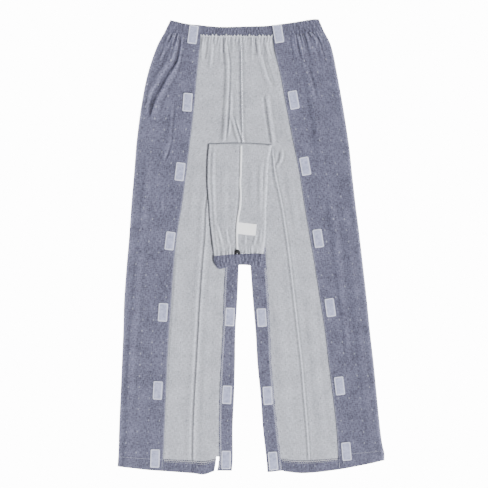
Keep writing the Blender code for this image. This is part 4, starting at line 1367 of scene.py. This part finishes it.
def make_sewing():
    """Overlocked edges and hem stitching, each on its own cloth."""
    made = []

    def rail_path(name, low, high, shift=0.0, count=240):
        heights = np.linspace(low, high, count)
        x = BACK[name](heights) + shift
        return list(zip(x, on_sheet(x, heights)))

    def strip_face(toward):
        return lambda x, y: strip_top(toward, x, off_sheet(x, y)) + 0.12

    def side_face(toward):
        return lambda x, y: side_top(toward, x, y, off_sheet(x, y)) + 0.1

    bm = bmesh.new()
    for toward in (LEFT, RIGHT):
        side = side_key(toward)
        top = strip_face(toward)
        path = rail_path("strip" + side, HEM + 3, CROTCH - 14, toward * 2.5)
        sew(bm, zigzag(path, 2.5, math.radians(30), top, 0.4), 4.6, 1.15)
        path = rail_path("strip" + side, HEM + 3, CROTCH - 14, toward * 4.4)
        sew(bm, seam_points(path, 3.0, top), 2.4, 0.5)
    made.append(shaped("inseam_overlock", bm, ["overlock edge thread"], []))

    bm = bmesh.new()
    for toward in (LEFT, RIGHT):
        side = side_key(toward)
        start = float(BACK["wrap" + side](HEM_TOP)) + toward * 1.5
        end = float(BACK["strip" + side](HEM_TOP)) - toward * (SLIT_WIDTH + 2 if toward == LEFT else 2)
        x = np.linspace(start, end, 60)
        path = list(zip(x, on_sheet(x, np.full_like(x, HEM_TOP - 1.9))))
        hem_top = flat_at(SECOND + WALL + 0.15)
        sew(bm, zigzag(path, 2.5, math.radians(38), hem_top, 0.4), 4.2, 0.9)
        path = list(zip(x, on_sheet(x, np.full_like(x, HEM_TOP - 5.6))))
        sew(bm, seam_points(path, 3.2, hem_top), 2.5, 0.5)
    made.append(shaped("hem_overlock", bm, ["polyester sewing thread"], []))

    bm = bmesh.new()
    for toward in (LEFT, RIGHT):
        side, nominal = side_key(toward), hem_height(toward)
        start = float(BACK["side" + side](nominal)) + toward * 4
        end = float(BACK["wrap" + side](nominal)) - toward * 4
        x = np.linspace(start, end, 40)
        path = list(zip(x, on_sheet(x, np.full_like(x, nominal))))
        top = side_face(toward)
        edge = rail_path("wrap" + side, HEM + 3, WAIST - 30, -toward * 1.7, 400)
        sew(bm, seam_points(edge, 3.0, top), 2.5, 0.75)
        sew(bm, seam_points(path, 3.0, top), 2.5, 0.75)
    made.append(shaped("side_hem_stitching", bm, ["overlock edge thread"], []))
    return made


def waist_edge(x, v):
    """The gathered edge of the back above the waist seam, v from 0 at the seam to 1 at its tips."""
    t = (x - BACK_LEFT) / BACK_WIDTH
    tall = 0.58 + 0.42 * np.sin(67 * t) * np.sin(29 * t + 1)
    loop = waves(t, BACK_GATHERS, 0.9) ** 0.65 * tall
    waist = waist_line(x)
    y = waist - 1.2 + (1.9 + 6.2 * loop) * v
    nominal = np.full_like(x, WAIST - 3)
    below = np.where(
        x < -21, back_top(LEFT, x, waist - 3, nominal), back_top(RIGHT, x, waist - 3, nominal)
    )
    on_band = fade(v, 0.0, 0.35)
    ground = np.maximum(below, BAND_WALL + GATHER_SHOWN) * on_band + below * (1 - on_band)
    ground = np.maximum(ground - 0.7 * fade(v, 0.2, 0.0), 0.3)
    return y, ground, ground + 0.3 + 1.1 * loop * np.sin(math.pi * np.clip(v, 0.05, 0.95)), loop


def make_waist_allowance():
    """The overlocked edge of the back where it is gathered into the waistband, and its thread."""
    columns, rows = BACK_GATHERS * 12, 6
    shares = np.array([0.0, 0.12, 0.35, 0.6, 0.82, 0.95, 1.0])

    def form(i, j, level):
        x = BACK_LEFT + (BACK_WIDTH - 0.5) * i / columns
        y, ground, top, _ = waist_edge(x, shares[j])
        return x, y, np.where(level > 0.5, top, ground + 0.1), x, y

    # shade=-0.6 paints the gathered edge paler than its cloth, a painted highlight on its standing loops
    edge = cloth(
        "waist_allowance", columns, rows, form, [], faces=(INNER, INNER), shade=-0.6
    )
    bm = bmesh.new()
    x = np.linspace(-109, 45.5, 78)
    y, _, top, loop = waist_edge(x, np.full_like(x, 0.62))
    for k in range(len(x)):
        heading = math.pi / 2 + (0.32 if k % 2 else -0.32)
        sew(bm, [(x[k], y[k], top[k] + 0.1, heading)], 1.2 + 3.6 * loop[k], 0.9)
    return edge, shaped("waist_overlock", bm, ["polyester sewing thread"], [])


def make_seam_allowance():
    """The overlocked allowance that stands along the centre seam of the front panel."""
    rows = 110
    offsets = np.array([-2.2, -1.9, -1.3, -0.5, 0.5, 1.3, 1.9, 2.2])
    crown = np.array([0.15, 0.7, 1.0, 1.1, 1.05, 0.95, 0.65, 0.15])

    def form(i, j, level):
        y = -14 + (222 + 14) * j / rows
        wander = 0.35 * np.sin(y / 6.0) + 0.25 * np.sin(y / 2.7)
        middle = FLAP_RAILS["seam"](y) + 0.3
        x = middle + offsets[i] + wander * 0.5
        base = flap_top(x, y)
        floor = flap_floor(y) + WALL + 0.1
        z = np.maximum(base, floor) + level * (0.35 + 0.8 * crown[i])
        return x, y, z, x - middle, y

    strip = cloth(
        "flap_seam_allowance", len(offsets) - 1, rows, form, [],
        faces=("polyester sewing thread", INNER),
    )
    def over_strip(x, y):
        return np.maximum(flap_top(x, y), flap_floor(y) + WALL + 0.1) + 1.35

    bm = bmesh.new()
    y = np.linspace(-12, 219, 200)
    path = list(zip(FLAP_RAILS["seam"](y) + 0.3, y))
    sew(bm, zigzag(path, 2.0, math.radians(22), over_strip), 4.0, 0.8)
    thread = shaped("flap_seam_overlock", bm, ["polyester sewing thread"], [])
    return strip, thread


def colour_setting(name, description, text):
    """A colour that a user can change, its default given in sRGB hex."""
    return bpy.props.FloatVectorProperty(
        name=name, description=description, subtype="COLOR", size=3, min=0, max=1,
        default=linear(text),
    )


def length_setting(name, description, least, default):
    """A length in metres that a user can change."""
    return bpy.props.FloatProperty(
        name=name, description=description, subtype="DISTANCE", unit="LENGTH", min=least,
        default=default,
    )


class TrouserLooks(bpy.types.PropertyGroup):
    """Colours and pattern sizes of the double cloth and its trim."""

    outer_light: colour_setting("Outer light yarn", "Palest of the blue outer face", "#8384a2")
    outer_dark: colour_setting("Outer dark yarn", "Deepest of the blue outer face", "#424253")
    outer_dot: colour_setting("Outer figure", "Small light figures of the outer face", "#b0b3c6")
    inner_light: colour_setting("Inner light yarn", "Palest of the grey inner face", "#dcdfe9")
    inner_dark: colour_setting("Inner dark yarn", "Deepest of the grey inner face", "#a2a5b1")
    inner_dot: colour_setting(
        "Inner figure", "Back of the small figures, faint on the inner face", "#7c7f8a"
    )
    tape_light: colour_setting("Tape light", "Palest of the loop tape", "#aeb2cf")
    tape_dark: colour_setting("Tape dark", "Deepest of the loop tape", "#868aa8")
    thread_light: colour_setting("Thread light", "Palest of the light sewing thread", "#f6f7fa")
    thread_dark: colour_setting("Thread dark", "Deepest of the light sewing thread", "#e2e4ea")
    overlock_light: colour_setting(
        "Overlock light", "Palest of the violet-grey overlock thread", "#dadced"
    )
    overlock_dark: colour_setting(
        "Overlock dark", "Deepest of the violet-grey overlock thread", "#9a9cb6"
    )
    dot_across: length_setting(
        "Figures across", "Distance between figures across the grain", 0.005, 0.0237
    )
    dot_along: length_setting(
        "Figures along", "Distance between figures along the grain", 0.005, 0.0246
    )
    dot_width: length_setting("Figure width", "Width of one small figure", 0.0005, 0.0028)
    dot_length: length_setting(
        "Figure length", "Length of one small figure along the grain", 0.0005, 0.0046
    )


class StageSetup(bpy.types.PropertyGroup):
    """The camera straight above and the soft light."""

    camera_height: length_setting("Camera height", "Height of the camera above the floor", 1.0, 2.535)
    key_strength: bpy.props.FloatProperty(
        name="Key light", description="Strength of the soft light from the lower right", min=0.0,
        default=7.0,
    )
    key_softness: bpy.props.FloatProperty(
        name="Key softness", description="Angle across which the key light spreads",
        subtype="ANGLE", unit="ROTATION", min=0.0, max=3.0, default=math.radians(15),
    )
    sky_strength: bpy.props.FloatProperty(
        name="Fill", description="Strength of the even light from all round", min=0.0, default=0.4,
    )
    floor_glow: bpy.props.FloatProperty(
        name="Floor glow", description="Light that the bright table sends up", min=0.0, default=12.0,
    )


class TROUSERS_OT_stage(bpy.types.Operator):
    """Sets the floor, the soft lights and the camera straight above."""

    bl_idname = "trousers.stage"
    bl_label = "Stage"

    def execute(self, context):
        scene = context.scene
        setup = scene.trouser_stage
        bm = bmesh.new()
        bmesh.ops.create_grid(bm, x_segments=1, y_segments=1, size=15.0)
        mesh = bpy.data.meshes.new("floor")
        bm.to_mesh(mesh)
        bm.free()
        floor = bpy.data.objects.new("floor", mesh)
        floor.location = (0, 0, -0.0005)
        white, _, shader = new_material("pale light table", 0.9)
        shader.inputs["Base Color"].default_value = (0.9, 0.9, 0.9, 1)
        shader.inputs["Emission Color"].default_value = (1, 1, 1, 1)
        shader.inputs["Emission Strength"].default_value = setup.floor_glow
        mesh.materials.append(white)
        scene.collection.objects.link(floor)

        lamp = bpy.data.lights.new("key", "SUN")
        lamp.angle, lamp.energy = setup.key_softness, setup.key_strength
        key = bpy.data.objects.new("key", lamp)
        key.location = (1.25, -0.75, 1.9)
        key.rotation_euler = key.location.to_track_quat("Z", "Y").to_euler()
        scene.collection.objects.link(key)

        world = bpy.data.worlds.new("soft room")
        world.use_nodes = True
        sky = world.node_tree.nodes["Background"]
        sky.inputs["Color"].default_value = (1, 1, 1, 1)
        sky.inputs["Strength"].default_value = setup.sky_strength
        scene.world = world

        lens = bpy.data.cameras.new("camera")
        lens.lens, lens.sensor_width = 85.0, 36.0
        camera = bpy.data.objects.new("camera", lens)
        camera.location = (-0.0154, 0.0066, setup.camera_height)
        scene.collection.objects.link(camera)
        scene.camera = camera
        return {"FINISHED"}


class TROUSERS_OT_back(bpy.types.Operator):
    """Builds both back panels."""

    bl_idname = "trousers.back"
    bl_label = "Back panels"

    def execute(self, context):
        for toward in (LEFT, RIGHT):
            piece = make_back(toward, slit=toward == LEFT)
        return {"FINISHED"}


class TROUSERS_OT_sides(bpy.types.Operator):
    """Builds the side pieces that wrap over the front."""

    bl_idname = "trousers.sides"
    bl_label = "Side pieces"

    def execute(self, context):
        for toward in (LEFT, RIGHT):
            piece = make_side(toward)
        return {"FINISHED"}


class TROUSERS_OT_inseams(bpy.types.Operator):
    """Builds the strips along the inner leg edges."""

    bl_idname = "trousers.inseams"
    bl_label = "Inner strips"

    def execute(self, context):
        for toward in (LEFT, RIGHT):
            piece = make_inseam(toward)
        return {"FINISHED"}


class TROUSERS_OT_hems(bpy.types.Operator):
    """Builds the turned-up hems of the legs."""

    bl_idname = "trousers.hems"
    bl_label = "Hems"

    def execute(self, context):
        for toward in (LEFT, RIGHT):
            make_hem(toward)
        return {"FINISHED"}


class TROUSERS_OT_waistbands(bpy.types.Operator):
    """Builds the gathered waistband of the back and its ends over the side pieces."""

    bl_idname = "trousers.waistbands"
    bl_label = "Waistband"

    def execute(self, context):
        make = [
            ("waistband_back", Ends(-190, -177, 160, 149), 0.0, (-109, 46), BACK_GATHERS, 0.350),
            (
                "waistband_left", Ends(-190, -177, -111, -110), FRONT_BAND, (-188, -146),
                SIDE_GATHERS[LEFT], 0.079,
            ),
            (
                "waistband_right", Ends(48, 45, 160, 149), FRONT_BAND, (84, 158),
                SIDE_GATHERS[RIGHT], 0.112,
            ),
        ]
        for name, ends, floor, shown, count, width in make:
            piece = make_waistband(name, ends, floor, shown, count)
            along = list(make_waist_allowance()) if name == "waistband_back" else []
        return {"FINISHED"}


class TROUSERS_OT_front_panel(bpy.types.Operator):
    """Builds the folded-down front panel, its seam and what lies folded under it."""

    bl_idname = "trousers.front_panel"
    bl_label = "Front panel"

    def execute(self, context):
        layers = make_flap_layers()
        strip, thread = make_seam_allowance()
        left, right = make_flap(LEFT), make_flap(RIGHT)
        return {"FINISHED"}


class TROUSERS_OT_front_waistband(bpy.types.Operator):
    """Builds the gathered waistband of the front panel and its ends folded under."""

    bl_idname = "trousers.front_waistband"
    bl_label = "Front waistband"

    def execute(self, context):
        band, under = make_flap_waistband()
        return {"FINISHED"}


class TROUSERS_OT_patches(bpy.types.Operator):
    """Builds the hook-and-loop patches and sews them down."""

    bl_idname = "trousers.patches"
    bl_label = "Hook-and-loop patches"

    def execute(self, context):
        make_patches()
        return {"FINISHED"}


class TROUSERS_OT_label(bpy.types.Operator):
    """Builds the bare satin label."""

    bl_idname = "trousers.label"
    bl_label = "Label"

    def execute(self, context):
        label, stitching = make_label()
        return {"FINISHED"}


class TROUSERS_OT_loop(bpy.types.Operator):
    """Builds the small loop of cord on the front waistband."""

    bl_idname = "trousers.loop"
    bl_label = "Cord loop"

    def execute(self, context):
        make_loop()
        return {"FINISHED"}


class TROUSERS_OT_sewing(bpy.types.Operator):
    """Sews the overlocked edges and the hems."""

    bl_idname = "trousers.sewing"
    bl_label = "Sewing"

    def execute(self, context):
        make_sewing()
        return {"FINISHED"}


class TROUSERS_PT_panel(bpy.types.Panel):
    """Lists the colours, sizes and pieces of the trousers."""

    bl_idname = "TROUSERS_PT_panel"
    bl_label = "Patient trousers"
    bl_space_type = "VIEW_3D"
    bl_region_type = "UI"
    bl_category = "Trousers"

    def draw(self, context):
        layout = self.layout
        for group in (context.scene.trouser_looks, context.scene.trouser_stage):
            box = layout.box()
            for name in group.__annotations__:
                box.prop(group, name)
        for step in STEPS:
            layout.operator(step.bl_idname)


STEPS = (
    TROUSERS_OT_stage, TROUSERS_OT_back, TROUSERS_OT_sides, TROUSERS_OT_inseams, TROUSERS_OT_hems,
    TROUSERS_OT_waistbands, TROUSERS_OT_front_panel, TROUSERS_OT_front_waistband,
    TROUSERS_OT_patches, TROUSERS_OT_label, TROUSERS_OT_loop, TROUSERS_OT_sewing,
)
CLASSES = (TrouserLooks, StageSetup, *STEPS, TROUSERS_PT_panel)


def register():
    """Registers the classes and hangs the settings on the scene."""
    for each in CLASSES:
        bpy.utils.register_class(each)
    bpy.types.Scene.trouser_looks = bpy.props.PointerProperty(type=TrouserLooks)
    bpy.types.Scene.trouser_stage = bpy.props.PointerProperty(type=StageSetup)


def unregister():
    """Undoes register, last first."""
    del bpy.types.Scene.trouser_stage
    del bpy.types.Scene.trouser_looks
    for each in reversed(CLASSES):
        bpy.utils.unregister_class(each)


def main():
    """Builds the stage and every piece."""
    register()
    bpy.ops.trousers.stage()
    bpy.ops.trousers.back()
    bpy.ops.trousers.sides()
    bpy.ops.trousers.inseams()
    bpy.ops.trousers.hems()
    bpy.ops.trousers.waistbands()
    bpy.ops.trousers.front_panel()
    bpy.ops.trousers.front_waistband()
    bpy.ops.trousers.patches()
    bpy.ops.trousers.label()
    bpy.ops.trousers.loop()
    bpy.ops.trousers.sewing()
    bpy.context.view_layer.update()


if __name__ == "__main__":
    main()
